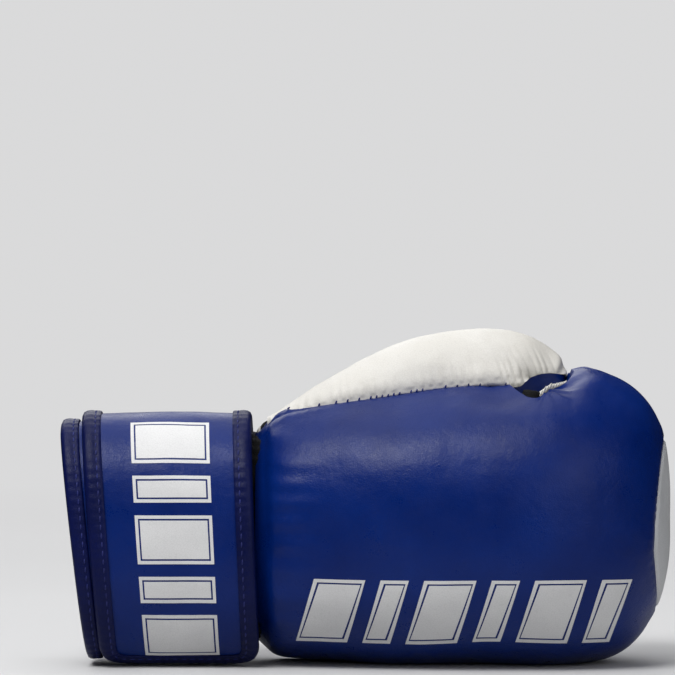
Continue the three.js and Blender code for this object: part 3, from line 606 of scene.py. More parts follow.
# ------------------------------------------------------------------ materials
class Shader:
    """A node material; the object's own coordinates drive every texture."""

    def __init__(self, name):
        self.material = bpy.data.materials.new(name)
        self.material.use_nodes = True
        self.tree = self.material.node_tree
        self.tree.nodes.clear()
        self.output = self.node("OutputMaterial")
        self.bsdf = self.node("BsdfPrincipled")
        self.put(self.output.inputs[0], self.bsdf.outputs[0])
        self.coord = self.node("TexCoord").outputs["Object"]

    def put(self, socket, value):
        """Links a socket or sets a value; a colour gets an alpha of 1."""
        if isinstance(value, bpy.types.NodeSocket):
            self.tree.links.new(value, socket)
        elif socket.type == "RGBA":
            socket.default_value = (*value, 1)
        else:
            socket.default_value = value

    def feed(self, node, inputs):
        for key, value in inputs.items():
            self.put(node.inputs[key], value)

    def node(self, kind, inputs=None, **settings):
        node = self.tree.nodes.new("ShaderNode" + kind)
        for key, value in settings.items():
            setattr(node, key, value)
        self.feed(node, inputs or {})
        return node

    def noise(self, scale, detail, rough=0.5):
        return self.node("TexNoise", {"Scale": scale, "Detail": detail, "Roughness": rough,
                                      "Vector": self.coord}).outputs[0]

    def voronoi(self, scale, feature="F1", vector=None, randomness=1.0):
        node = self.node("TexVoronoi", feature=feature)
        self.feed(node, {"Scale": scale, "Randomness": randomness,
                         "Vector": vector or self.coord})
        return node.outputs["Distance"]

    def math(self, operation, a, b):
        return self.node("Math", {0: a, 1: b}, operation=operation).outputs[0]

    def remap(self, value, source, target=(0.0, 1.0)):
        """Maps the source range to the target range, clamped."""
        inputs = {0: value, 1: source[0], 2: source[1], 3: target[0], 4: target[1]}
        return self.node("MapRange", inputs).outputs[0]

    def mix(self, share, a, b):
        return self.node("Mix", {0: share, 6: a, 7: b}, data_type="RGBA").outputs[2]

    def bump(self, height, strength, distance, normal=None):
        inputs = {"Strength": strength, "Distance": distance, "Height": height}
        if normal is not None:
            inputs["Normal"] = normal
        return self.node("Bump", inputs).outputs[0]


def rgb(*values):
    """sRGB 0-255 to linear."""
    return tuple((v / 255 / 12.92) if v / 255 <= 0.04045 else ((v / 255 + 0.055) / 1.055) ** 2.4
                 for v in values)


def darker(colour, share):
    return tuple(v * share for v in colour)


GRAIN_SCALE = 900.0


def leather(name, base, low, high, rough, grain, coat, soil=None, specular=0.3):
    """Grained leather: fine cell grain, pores, broad colour drift, scuffed gloss."""
    shader = Shader(name)
    drift, mottle = shader.noise(22.0, 3.0, 0.55), shader.noise(160.0, 3.0, 0.6)
    colour = shader.mix(shader.remap(drift, (0.3, 0.7)), low, high)
    colour = shader.mix(shader.remap(mottle, (0.35, 0.7), (0.0, 0.35)), colour, base)
    cells = shader.voronoi(GRAIN_SCALE, "DISTANCE_TO_EDGE")
    crack = shader.remap(cells, (0.0, 0.16))
    pores = shader.noise(GRAIN_SCALE * 1.7, 2.0, 0.6)
    in_cracks = shader.remap(cells, (0.0, 0.10), (0.30, 0.0))
    colour = shader.mix(in_cracks, colour, darker(base, 0.72))
    if soil:
        dirt = shader.remap(shader.noise(48.0, 5.0, 0.65), (0.56, 0.78), (0.0, 0.32))
        colour = shader.mix(dirt, colour, soil)
    scuff = shader.remap(shader.noise(70.0, 4.0, 0.6), (0.3, 0.75), (rough - 0.05, rough + 0.10))
    gloss = shader.math("ADD", scuff, shader.remap(crack, (0.0, 1.0), (0.08, 0.0)))
    creases = shader.noise(300.0, 3.0, 0.6)
    height = shader.math("ADD", shader.math("MULTIPLY", crack, 0.55),
                         shader.math("MULTIPLY", pores, 0.35))
    normal = shader.bump(height, strength=grain, distance=0.00013)
    normal = shader.bump(creases, strength=0.30, distance=0.00035, normal=normal)
    normal = shader.bump(shader.noise(75.0, 3.0), strength=0.22, distance=0.0011, normal=normal)
    shader.feed(shader.bsdf, {
        "Base Color": colour, "Roughness": gloss, "Specular IOR Level": specular,
        "Coat Weight": coat, "Coat Roughness": 0.34, "Normal": normal})
    return shader.material


def woven(name, base, thread, pitch, hole, bump, sheen):
    """Open woven mesh: rows of small holes between threads."""
    shader = Shader(name)
    scaled = shader.node("Mapping", {0: shader.coord, "Scale": (1 / pitch,) * 3}).outputs[0]
    weave = shader.voronoi(1.0, vector=scaled, randomness=0.12)
    gaps = shader.remap(weave, (hole - 0.12, hole + 0.10), (1.0, 0.0))
    fuzz = shader.noise(1800.0, 2.0, 0.6)
    colour = shader.mix(shader.remap(fuzz, (0.3, 0.7), (0.0, 0.8)), base, thread)
    height = shader.math("SUBTRACT", shader.math("MULTIPLY", fuzz, 0.3), gaps)
    shader.feed(shader.bsdf, {
        "Base Color": shader.mix(gaps, colour, darker(base, 0.15)), "Roughness": 0.9,
        "Sheen Weight": sheen, "Sheen Roughness": 0.5, "Specular IOR Level": 0.2,
        "Normal": shader.bump(height, strength=bump, distance=0.00025)})
    return shader.material


def ribbed(name, base, high, pitch, rough, rib):
    """Ribbed cloth of the threads and the webbing."""
    shader = Shader(name)
    ribs = shader.node("TexWave", {"Scale": 1 / pitch / 6.28, "Distortion": 1.2, "Detail": 1.0,
                                   "Vector": shader.coord}).outputs["Fac"]
    fuzz = shader.noise(900.0, 3.0, 0.6)
    colour = shader.mix(shader.remap(shader.noise(45.0, 3.0, 0.6), (0.3, 0.7)), base, high)
    worn = shader.remap(fuzz, (0.4, 0.8), (0.0, 0.4))
    height = shader.math("ADD", shader.math("MULTIPLY", ribs, rib),
                         shader.math("MULTIPLY", fuzz, 0.5))
    shader.feed(shader.bsdf, {
        "Base Color": shader.mix(worn, colour, darker(base, 0.6)),
        "Roughness": shader.remap(fuzz, (0.2, 0.8), (rough - 0.08, rough + 0.12)),
        "Specular IOR Level": 0.4,
        "Normal": shader.bump(height, strength=0.35, distance=0.00018)})
    return shader.material


def fuzzy(name, base, high, scale, depth):
    """Hook or loop tape, or foam: a fine nap."""
    shader = Shader(name)
    fuzz, tufts = shader.noise(scale, 4.0, 0.7), shader.voronoi(scale * 0.8)
    height = shader.math("ADD", fuzz, tufts)
    shader.feed(shader.bsdf, {
        "Base Color": shader.mix(shader.remap(fuzz, (0.3, 0.75)), base, high),
        "Roughness": 0.95, "Sheen Weight": 0.15, "Specular IOR Level": 0.15,
        "Normal": shader.bump(height, strength=0.8, distance=depth)})
    return shader.material


BLUE = leather("leather_blue", rgb(0, 33, 107), rgb(0, 28, 96), rgb(0, 38, 115),
               rough=0.30, grain=0.36, coat=0.0, specular=0.22)
WHITE = leather("leather_white", rgb(221, 218, 211), rgb(214, 211, 204), rgb(228, 226, 221),
                rough=0.46, grain=0.42, coat=0.03, soil=rgb(186, 181, 172))
KNUCKLE = leather("leather_knuckle", rgb(206, 208, 210), rgb(199, 201, 204), rgb(214, 215, 217),
                  rough=0.42, grain=0.4, coat=0.05, soil=rgb(182, 182, 182))
NAVY = leather("binding_navy", rgb(6, 15, 66), rgb(4, 12, 56), rgb(12, 22, 80),
               rough=0.36, grain=0.45, coat=0.0, specular=0.15)
MESH = woven("mesh_black", rgb(7, 7, 8), rgb(17, 17, 18),
             pitch=0.0011, hole=0.34, bump=0.9, sheen=0.04)
LINING = woven("lining_dark", rgb(26, 27, 32), rgb(42, 43, 50),
               pitch=0.0008, hole=0.25, bump=0.6, sheen=0.25)
THREAD = ribbed("thread_navy", rgb(18, 26, 88), rgb(36, 48, 124),
                pitch=0.0003, rough=0.62, rib=0.8)
THREAD_DARK = ribbed("thread_dark", rgb(14, 16, 42), rgb(26, 28, 66),
                     pitch=0.0003, rough=0.62, rib=0.8)
HOOK = fuzzy("hook_loop_black", rgb(12, 12, 13), rgb(34, 34, 36), scale=1400.0, depth=0.0006)
WEBBING = ribbed("webbing_black", rgb(15, 15, 16), rgb(30, 30, 32),
                 pitch=0.0012, rough=0.8, rib=1.0)
FOAM = fuzzy("foam_grey", rgb(120, 122, 126), rgb(150, 152, 156), scale=700.0, depth=0.0004)
PRINT = leather("print_white", rgb(224, 224, 224), rgb(216, 216, 217), rgb(230, 230, 230),
                rough=0.5, grain=0.3, coat=0.0)


def attach(piece, bodies, share=None, replaces=()):
    """Fixes a piece to one body; given a share per point, it only bakes the piece's transform
    where it stands.
    """
    if share is None:
        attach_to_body(piece, bodies)
    else:
        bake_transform(piece)
    if replaces:
        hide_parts(*replaces)


MITT_AND_ROLL, MITT_AND_THUMB = ("mitt", "finger_roll"), ("mitt", "thumb")


def roll_share(row):
    return rise(row, 6.6, 4.2)


# ------------------------------------------------------------------ seam between thumb and back
def find_thumb_seam():
    """Rows and angles of the thumb where it enters the back of the mitt."""
    angles = np.linspace(math.pi * 0.5, math.pi * 1.5, 721)
    rows, found = [], []
    for row in np.linspace(0.35, 11.6, 260):
        points = thumb(np.full(len(angles), row), angles)
        depth = inside_mitt(*columns(points))
        enters = np.where((depth[:-1] > 0) & (depth[1:] <= 0))[0]
        if len(enters) and points[0, 0] < 236:
            rows.append(row)
            found.append(angles[enters[0]])
    return np.array(rows), np.array(found)


SEAM_ROWS, SEAM_ANGLES = find_thumb_seam()
THUMB_SEAM = resample(thumb(SEAM_ROWS, SEAM_ANGLES), 0.25)


def seam_pucker(run):
    """Uneven gathers along the thumb seam."""
    uneven = run + 1.3 * np.sin(run / 7.0) + 0.8 * np.sin(run / 3.1)
    return np.sin(2 * np.pi * uneven / 5.2)


# ------------------------------------------------------------------ knuckle patch outline
def knuckle_at(y, z, off):
    """Skin point of the front of the fist with this y and z, and its row."""
    y, z, off = np.broadcast_arrays(*(np.asarray(v, float) for v in (y, z, off)))
    row, turn = find_on_skin(y, z, np.full(y.shape, 14.0), np.linspace(10.5, 17.2, 500),
                             column=1, limit=0.98, tries=5)
    return mitt(row, turn) + mitt_normal(row, turn) * off[..., None], row


PATCH_Y, PATCH_HALF_Y = 2, 31
PATCH_Z, PATCH_HALF_Z = 66, 39.5
# width of the back-of-hand half at each height
PATCH_WIDTH_Z = [27, 35, 45, 55, 66, 78, 90, 106]
PATCH_WIDTH = [0.82, 0.90, 1.0, 1.08, 1.06, 0.99, 0.91, 0.86]


def patch_width(z):
    return np.interp(z, PATCH_WIDTH_Z, PATCH_WIDTH)


circle = np.linspace(0, 2 * math.pi, 240, endpoint=False)
patch_y = PATCH_Y + PATCH_HALF_Y * signed_power(np.cos(circle), 0.8)
patch_z = PATCH_Z + PATCH_HALF_Z * signed_power(np.sin(circle), 0.8)
patch_y = np.where(patch_y < PATCH_Y, PATCH_Y + (patch_y - PATCH_Y) * patch_width(patch_z),
                   patch_y)
PATCH_LINE = resample(np.stack([patch_y, patch_z], 1), 0.6, True)
PATCH_SEAM = knuckle_at(PATCH_LINE[:, 0], PATCH_LINE[:, 1], 0.0)[0]
PATCH_SEAM = np.vstack([PATCH_SEAM, PATCH_SEAM[:1]])


def patch_pucker(run):
    return np.sin(2 * np.pi * run / 4.6 + 1.2 * np.sin(run / 9))


# ------------------------------------------------------------------ blue skin, back and roll
SKIN_ROWS, SKIN_TURNS = 360, 250
some_rows = np.linspace(0, len(MITT) - 1, 3000)
row_t = evenly(some_rows, arc(mitt(some_rows, np.full(3000, 0.5))), SKIN_ROWS)
some_turns = np.linspace(0, 1, 4000)
col_turn = evenly(some_turns, arc(mitt(np.full(4000, 9.0), some_turns)), SKIN_TURNS)
# The edge on the thumb side runs inside the thumb; past the thumb's seam it dips into a notch.
EDGE_ROWS = [0, 0.8, 1.4, 2.2, 3.4, 4.4, 7.6]
EDGE_TURNS = [0.03, 0.05, 0.085, 0.115, 0.105, 0.08, 0.075]
NOTCH = np.array([  # x, z of the skin's edge in the notch
    [209, 132.4], [213, 131.9], [216.0, 131.0], [218.6, 128.6], [221, 126.9], [223.5, 126.9],
    [226.5, 128.8], [230, 131.6], [235, 135.0], [238.5, 137.4], [241, 139.5], [243, 142.0]])
NOTCH_START = 209


def edge_turns():
    """The turn at which each row of the skin starts, following the notch."""
    start = np.interp(row_t, EDGE_ROWS, EDGE_TURNS)
    turn = np.linspace(0, 0.30, 400)
    for i, row in enumerate(row_t):
        if not 7.0 < row < 12.0:
            continue
        x, _, z = columns(mitt(np.full(400, row), turn))
        wanted = np.interp(x, NOTCH[:, 0], NOTCH[:, 1], left=200, right=200)
        below = np.where((z <= wanted) & (x > NOTCH_START))[0]
        first = below[0] if len(below) else 0
        if x.max() > NOTCH_START:
            share = rise(x[first], NOTCH_START, 5.0)
            cut = turn[first]
            start[i] = start[i] * (1 - share) + cut * share if row < 9 else cut
    return blur(start, np.ones(5))


skin_row = widen(row_t, SKIN_TURNS)
first_turn = edge_turns()[:, None]
skin_turn = first_turn + (1 - first_turn) * col_turn[None, :]
big, medium, small = Waves(70, seed=1), Waves(30, seed=2), Waves(11, seed=3)

# How far the padding stands out. Places are mm below the height 105 and degrees above it.
FRONT_X, FRONT_Z = 240, 105
FULLNESS = np.array([
    [-106, 0], [-97, 0], [-90, 0.15], [-84, 0.0], [-78, 0.8], [-71, 1.5], [-58, 2.2],
    [-45, 2.6], [-30, 2.6], [-12, 2.5], [0, 2.6], [10, 2.5], [25, 1.3], [38, -0.4], [48, -1.7],
    [58, -2.4], [68, -2.3], [77, -1.9], [84, -2.0], [91, -2.6], [98, -1.6], [108, -0.2],
    [115, 0], [181, 0]])
full_place = np.arange(-106, 181, 0.5)
full_height = blur(np.interp(full_place, FULLNESS[:, 0], FULLNESS[:, 1]), np.hanning(21))


def front_full(points):
    """The padding is fuller over the knuckles and flatter where the roll turns over on top."""
    x, _, z = columns(points)
    angle = np.degrees(np.arctan2(z - FRONT_Z, x - FRONT_X))
    place = np.where(z > FRONT_Z, angle, z - FRONT_Z)
    reach = np.hypot(np.maximum(x - FRONT_X, 0), np.maximum(z - FRONT_Z, 0))
    return np.interp(place, full_place, full_height) * rise(reach, 12, 26)


def skin_detail(points, row, turn):
    """Heights, in mm, of the padding's unevenness, seams, puckers and folds."""
    x, y, z = columns(points)
    height = 0.50 * big(points) + 0.12 * medium(points) + 0.03 * small(points)
    height += front_full(points) * fall(row, 19.0, 4.5)
    height *= smooth(row / 1.5)
    # knuckle seam, with the skin sunk under the patch
    dist, run = nearest(points, PATCH_SEAM)
    height += -0.50 * bell(dist, 1.0) + 0.22 * bell(dist, 3.0, 4.5)
    even_y = np.where(y < PATCH_Y, PATCH_Y + (y - PATCH_Y) / patch_width(z), y)
    oval = (np.abs((even_y - PATCH_Y) / PATCH_HALF_Y) ** 2.5
            + np.abs((z - PATCH_Z) / PATCH_HALF_Z) ** 2.5)
    under = (oval < 1) & (row > 10) & (row < 18)
    height += np.where(under, -1.1 * rise(dist, 0.4, 1.6), 0.0)
    height += 0.16 * patch_pucker(run) * np.exp(-(dist / 3.4)) * rise(dist, 0.6, 1.2)
    # thumb seam
    dist, run = nearest(points, THUMB_SEAM)
    height += -0.45 * bell(dist, 1.3) + 0.35 * bell(dist, 3.0, 4.5)
    height += 0.26 * seam_pucker(run) * np.exp(-(dist / 4.5)) * rise(dist, 0.5, 1.3)
    # folds fanning out of the notch below the thumb tip
    away = points - np.array([228.0, -9.0, 131.0])
    reach = np.linalg.norm(away, axis=-1)
    angle = np.arctan2(away[..., 2], away[..., 0])
    fan = rise(turn, 0.02, 0.08) * fall(turn, 0.48, 0.2) * rise(row, 6.5, 1.5)
    fan = fan * fall(row, 13.5, 2)
    ripple = np.sin(angle * 9.0 + 1.1 * np.sin(angle * 3 + 0.5) + reach * 0.03)
    height += 0.55 * ripple * bell(reach, 13, 14) * fan
    height += -1.6 * bell(reach, 7.5)
    ripple = np.sin(angle * 23.0 + 2.1 * np.sin(angle * 4 + 0.5) + reach * 0.05)
    height += 0.20 * ripple * bell(reach, 9, 15) * fan * rise(x, 224, 8)
    # the skin falls towards the notch and tucks under the end of the thumb seam
    height += -2.6 * bell(x, 8.5, 235) * rise(z, 126, 9) * fall(row, 20.5, 5)
    height += -3.0 * bell(x, 14, 209) * rise(z, 118, 14)
    # gathers at the thumb end of the roll: ridges with sharp valleys, running out from the lip
    fan = turn + 0.012 * np.sin(row * 1.1 + turn * 30)
    phase = fan / 0.036 + 0.28 * np.sin(fan * 55 + 1.0) + 0.2 * np.sin(fan * 23)
    ridge = np.abs(np.sin(np.pi * phase)) ** 0.75 - 0.62
    tall = 1.0 + 0.35 * np.sin(np.floor(phase) * 2.4)
    far = rise(row, 15.6 + 1.1 * np.sin(np.floor(phase) * 1.9), 4.2)
    wide = fall(turn, 0.40, 0.13) * rise(turn, -0.02, 0.03)
    height += 1.55 * ridge * tall * far * wide * fall(row, 27.2, 3.0)
    # softer gathers at its little-finger end
    phase = turn / 0.045 + 0.3 * np.sin(turn * 40)
    soft = 0.5 * (np.abs(np.sin(np.pi * phase)) - 0.6)
    height += soft * rise(row, 18.5, 3.5) * rise(turn, 0.70, 0.15) * fall(row, 27.2, 3.0)
    # faint ripples along the lip and near the wrist
    lip = 0.34 * np.sin(z / 0.8 + 1.5 * np.sin(z / 9))
    height += lip * bell(row, 0.8, 23.2) * rise(turn, 0.2, 0.2)
    wrist = 0.20 * np.sin(z / 1.7 + 1.5 * np.sin(z / 13))
    height += wrist * bell(row, 1.0, 2.6) * smooth(row / 1.5)
    return height


plain_skin = mitt(skin_row, skin_turn)
skin_height = skin_detail(plain_skin, skin_row, skin_turn)
skin_grid = plain_skin + mitt_normal(skin_row, skin_turn) * skin_height[..., None]
skin_grid[..., 2] = np.maximum(skin_grid[..., 2], 0.0)
attach(sheet("back_and_finger_roll_skin", skin_grid, BLUE), MITT_AND_ROLL, roll_share(skin_row),
       ("back_shell", "curl_shell", "back_foam", "curl_foam", "little_finger_side_foam",
        "index_side_foam"))

# ------------------------------------------------------------------ thumb end of the finger roll
# Closed between the skin's two edges: white lining in the notch, blue leather beyond.
edge_points = skin_grid[:, 0]
edge_heading = unit(skin_grid[:, 0] - skin_grid[:, 3])  # heads past the edge
TIP_ROW, LIP_ROW = 13.6, 23.2
START_ROW = row_t[int(np.argmax((row_t > 7.5) & (edge_points[:, 0] > 218.5)))]
END_COLUMNS, WHITE_COLUMNS, WHITE_SHARE = 66, 24, 0.40
across = np.linspace(0, 1, END_COLUMNS)


def edge_at(row):
    return along(row, row_t, edge_points), unit(along(row, row_t, edge_heading))


def end_patch(start, end, count, ripple):
    """Grid from the notch's edge to the lip's edge, with its share of the finger roll."""
    place = np.linspace(start, end, count)
    back_row = START_ROW + (TIP_ROW - START_ROW) * place
    back, back_heading = edge_at(back_row)
    lip, lip_heading = edge_at(LIP_ROW + (TIP_ROW - LIP_ROW) * place ** 0.9)
    gap = np.linalg.norm(lip - back, axis=1)[:, None]
    tuck = (1 - rise(place, 0.18, 0.4))[:, None]
    back_heading = unit(back_heading * (1 - tuck) + tuck * np.array([-0.1, 0.75, -0.65]))
    v = across[None, :, None]
    grid = ((2 * v ** 3 - 3 * v ** 2 + 1) * back[:, None]
            + (v ** 3 - 2 * v ** 2 + v) * (back_heading * gap * 0.9)[:, None]
            + (-2 * v ** 3 + 3 * v ** 2) * lip[:, None]
            + (v ** 3 - v ** 2) * (-lip_heading * gap * 0.9)[:, None])
    normals = grid_normals(grid, count // 2, END_COLUMNS // 2, axis=2)
    grid[..., 2] -= 6.5 * tuck * np.sin(np.pi * across) ** 0.6
    height = ripple(place[:, None], across[None]) * np.sin(np.pi * across) ** 0.5
    share = roll_share(back_row)[:, None] * (1 - across) + across
    return grid + normals * height[..., None], share


def blue_pleats(place, over):
    phase = over * 4.2 + 0.25 * np.sin(over * 9 + place * 3)
    return 1.1 * (np.abs(np.sin(np.pi * phase)) ** 0.8 - 0.6) * fall(place, 1.02, 0.35)


def white_pleats(place, over):
    phase = place * 17 + 0.4 * np.sin(over * 5) + 0.25 * np.sin(place * 60)
    return 0.75 * np.sin(2 * np.pi * phase) * fall(over, 0.75, 0.5)


low_grid, low_share = end_patch(0.0, WHITE_SHARE, 70, white_pleats)
high_grid, high_share = end_patch(WHITE_SHARE, 1.0, 100, blue_pleats)
attach(sheet("roll_end_lining", low_grid[:, :WHITE_COLUMNS], WHITE), MITT_AND_ROLL,
       low_share[:, :WHITE_COLUMNS])
low_part = low_grid[:, WHITE_COLUMNS - 1:]
low_points = low_part.reshape(-1, 3)
gusset_faces = [*grid_faces(*low_part.shape[:2]),
                *(grid_faces(100, END_COLUMNS) + len(low_points))]
piece = make("roll_end_gusset", np.vstack([low_points, high_grid.reshape(-1, 3)]), gusset_faces,
             BLUE)
attach(piece, MITT_AND_ROLL,
       np.concatenate([low_share[:, WHITE_COLUMNS - 1:].ravel(), high_share.ravel()]))

# ------------------------------------------------------------------ inside the notch
# A gathered white hem just inside, black elastic at its lower end, and the dark pocket behind.
in_notch = (row_t > 6.5) & (row_t < 11.5)
order = np.argsort(edge_points[in_notch][:, 0])
notch_points = edge_points[in_notch][order]
notch_rows = row_t[in_notch][order]
HEM = np.array([  # inwards, up
    (0.9, -3.0), (0.7, -0.6), (0.75, 0.7), (1.1, 1.9), (1.8, 2.7), (2.7, 3.0), (3.6, 2.5),
    (4.2, 1.2), (4.5, -0.8), (4.7, -4.5)])


def notch_share(x, count):
    return widen(roll_share(np.interp(x, notch_points[:, 0], notch_rows)), count)


def hem(name, start, end, count, heights, into, period, sway, material):
    """A rolled hem along the notch; heights holds x places and the roll's height at each."""
    x = np.linspace(start, end, count)
    line = blur(along(x, notch_points[:, 0], notch_points), np.ones(9))
    run = arc(line)
    inwards, up = spline(HEM, np.linspace(0, len(HEM) - 1, 34)).T
    phase = (2 * np.pi * run / period + 0.6 * np.sin(run / 3))[:, None]
    up = np.where(up > 0, up * np.interp(x, *heights)[:, None], up)
    live = rise(up, -0.5, 1.5)
    inwards = inwards + into + sway * np.sin(phase) * live
    up = up + 0.5 * sway * np.cos(phase + 0.6) * live
    grid = line[:, None] + np.stack([0.35 * up, inwards, up], -1)
    attach(sheet(name, grid, material, flip=True), MITT_AND_ROLL, notch_share(x, 34))


hem("notch_hem", 223.2, 238.2, 110,
    heights=([223, 224.5, 229, 235, 238], [0.75, 1.05, 1.0, 0.55, 0.2]),
    into=0.0, period=2.5, sway=0.36, material=WHITE)
hem("notch_elastic", 216.8, 225.2, 40,
    heights=([216.8, 219, 222, 225.2], [0.6, 1.05, 1.1, 0.7]),
    into=-0.25, period=0.9, sway=0.10, material=MESH)

pocket_x = np.linspace(203, 236, 60)
pocket_edge = along(pocket_x, notch_points[:, 0], notch_points)[:, None]
deep = np.linspace(0, 1, 24)[:, None]
pocket = (pocket_edge + np.array([0, 22, 0]) * deep
          - np.array([0, 0, 13]) * np.sin(np.pi * 0.62 * deep) - np.array([0, 0, 0.8]))
attach(sheet("notch_pocket", pocket, LINING, flip=True), MITT_AND_ROLL,
       notch_share(pocket_x, 24))


# ------------------------------------------------------------------ white patch on the knuckles
def patch_bump(flat, _dist):
    points, row = knuckle_at(flat[:, 0], flat[:, 1], 0.0)
    dist, run = nearest(points, PATCH_SEAM)
    height = 0.50 * big(points) + 0.12 * medium(points)
    height = height + front_full(points) * fall(row, 19.0, 4.5)
    return height + 0.14 * patch_pucker(run) * np.exp(-(dist / 3.0))


attach(panel("knuckle_patch", PATCH_LINE, lambda y, z, off: knuckle_at(y, z, off)[0], KNUCKLE,
             top=0.22, bottom=-1.6, edge=1.6, spacing=2.0, bump=patch_bump),
       "finger_roll", replaces=["knuckle_panel"])


# ------------------------------------------------------------------ little-finger side
def side_grid(rows=220, cols=26):
    """From the floor to the lower edge of the palm, wrist to fingers."""
    place = np.linspace(90, 238, rows)
    row = np.interp(place, edge_table[:, 2], edge_rows)
    table = spline(MITT, np.clip(row, 0, 10.4))
    x, climb = np.meshgrid(place, np.linspace(-0.35, 1.0, cols), indexing="ij")
    edge_y = widen(table[:, 3], cols)
    low_z = np.maximum(widen(table[:, 5], cols), 0.0)
    palm_z = palm_low(x) + 0.6
    above_floor = np.clip(climb, 0, 1)
    angle = above_floor * np.pi / 2
    y = edge_y - 0.5 + (palm_y(x, palm_z) + 0.2 - edge_y + 0.5) * np.sin(angle)
    y = np.where(climb < 0, edge_y - 0.5 + climb * 14, y)
    z = low_z + (palm_z - low_z) * (1 - np.cos(angle))
    z = np.where(climb < 0, low_z + 0.2, z)
    bulge = 2.2 * np.sin(above_floor * np.pi) ** 0.8
    grid = np.stack([x, y + bulge * 0.8, np.maximum(z - bulge * 0.5, 0.05)], -1)
    # the last column tucks under the palm panels
    grid[:, -1, 1] -= 1.6
    grid[:, -1, 2] += 0.4
    ripple = 0.15 * np.sin(x / 0.8 + np.sin(x / 7)) * np.linspace(0, 1, cols) ** 3
    grid = grid + grid_normals(grid, 100, 15, axis=1) * ripple[..., None]
    grid[..., 2] = np.maximum(grid[..., 2], 0.03)
    return grid


attach(sheet("little_finger_side", side_grid(), BLUE), "mitt",
       replaces=["little_finger_side_panel"])

# ------------------------------------------------------------------ thumb, white outside
THUMB_ROWS, THUMB_COLUMNS = 300, 170
thumb_rows = np.linspace(0.0, 13.0, 2600)
thumb_table = spline(THUMB, thumb_rows)
thumb_steps = np.diff(thumb_table, axis=0)
thumb_run = running(np.hypot(thumb_steps[:, 0], np.hypot(thumb_steps[:, 3], thumb_steps[:, 4])))
row_r = evenly(thumb_rows, thumb_run, THUMB_ROWS)
# x, z where the white outside meets the blue inside on the palm side
PALM_SEAM = np.array([
    [90, 114.2], [99, 115.1], [110.8, 115.5], [122.5, 115.1], [134.2, 114.7], [147.5, 114.3],
    [159.2, 113.1], [168.6, 112.0], [182.3, 109.8], [193.2, 110.0], [202, 110.9],
    [211.2, 112.5], [218.2, 114.2], [228, 119.5], [240, 126.5]])
# x, z of the white outside's free edge near the tip, on the back-of-hand side
WHITE_LIP = np.array([
    [204, 131.0], [209, 131.4], [213, 131.3], [216, 131.5], [219, 133.4], [222.5, 135.6],
    [226.5, 137.0], [231, 137.3], [235, 136.8], [238.4, 136.2], [240, 135.4]])


def thumb_row_at(x):
    return np.interp(x, thumb_table[:, 0], thumb_rows)


def angle_on_line(row, line, lowest):
    """Angle above the horizontal at which the thumb meets a line of x and z."""
    x, _, centre_z, _, half_z = columns(spline(THUMB, row))
    z = np.interp(x, line[:, 0], line[:, 1])
    return np.arcsin(np.clip((z - centre_z) / np.maximum(half_z, 0.1), lowest, 0.9))


def palm_seam_angle(row):
    return angle_on_line(row, PALM_SEAM, -0.93)


def lip_angle(row):
    return math.pi - angle_on_line(row, WHITE_LIP, -0.9)


def back_angle(row):
    """Where the white outside ends: inside the mitt along the seam, free near the tip."""
    seam = np.interp(row, SEAM_ROWS, SEAM_ANGLES) + 0.42
    lip = lip_angle(row)
    return lip + (seam - lip) * fall(spline(THUMB, row)[..., 0], 213.5, 6.0)


def thumb_surface(row, angle):
    """Points and outward normals."""
    points = thumb(row, angle)
    by_row = (thumb(np.minimum(row + 0.02, len(THUMB) - 1), angle)
              - thumb(np.maximum(row - 0.02, 0), angle))
    by_angle = thumb(row, angle + 1e-3) - thumb(row, angle - 1e-3)
    normals = unit(np.cross(by_row, by_angle))
    table = spline(THUMB, row)
    outward = np.stack([np.zeros_like(row), points[..., 1] - table[..., 1],
                        points[..., 2] - table[..., 2]], -1)
    facing_in = (normals * outward).sum(-1, keepdims=True) < 0
    return points, np.where(facing_in, -normals, normals)


def thumb_detail(points):
    """Heights, in mm, of unevenness, seam puckers, pleats and creases."""
    x, y, z = columns(points)
    height = 0.45 * big(points + 40) + 0.18 * medium(points) + 0.04 * small(points)
    dist, run = nearest(points, THUMB_SEAM)
    height += -0.30 * bell(dist, 1.3) + 0.25 * bell(dist, 3.0, 4)
    height += 0.34 * seam_pucker(run) * np.exp(-(dist / 5.0)) * rise(dist, 0.5, 1.3)
    height += 2.3 * bell(dist, 9) * rise(x, 180, 20) * fall(x, 222, 8)
    # pleats that stand on the free edge below the tip
    climb = z - 136
    phase = (x + 0.34 * climb + 0.7 * np.sin(x / 4.1) + 0.4 * np.sin(z / 3.3)) / 3.25
    reach = 8.5 + 2.5 * np.sin(np.floor(phase) * 2.1)
    share = bell(np.maximum(climb, 0), reach) * rise(x, 203, 9) * fall(x, 239, 3)
    share = share * fall(y, 4, 8)
    height += (0.30 - 1.05 * (1 - np.abs(np.sin(np.pi * phase))) ** 1.6) * share
    # creases that run from the tip down to the seam
    away = points - np.array([231.0, -6.0, 131.0])
    reach = np.linalg.norm(away, axis=-1)
    angle = np.arctan2(away[..., 2], -away[..., 0])
    crease = np.sin(angle * 8.0 + 1.3 * np.sin(angle * 2.7))
    height += 0.55 * crease * bell(reach, 11, 15) * rise(x, 196, 18)
    return height


thumb_row = widen(row_r, THUMB_COLUMNS)
angle_end, angle_start = back_angle(row_r)[:, None], palm_seam_angle(row_r)[:, None]
share = np.linspace(0, 1, THUMB_COLUMNS)[None, :]
thumb_angle = angle_start + (angle_end - angle_start) * share
plain_thumb, thumb_normal = thumb_surface(thumb_row, thumb_angle)
thumb_grid = plain_thumb + thumb_normal * thumb_detail(plain_thumb)[..., None]
half_z = spline(THUMB, thumb_row)[..., 4]
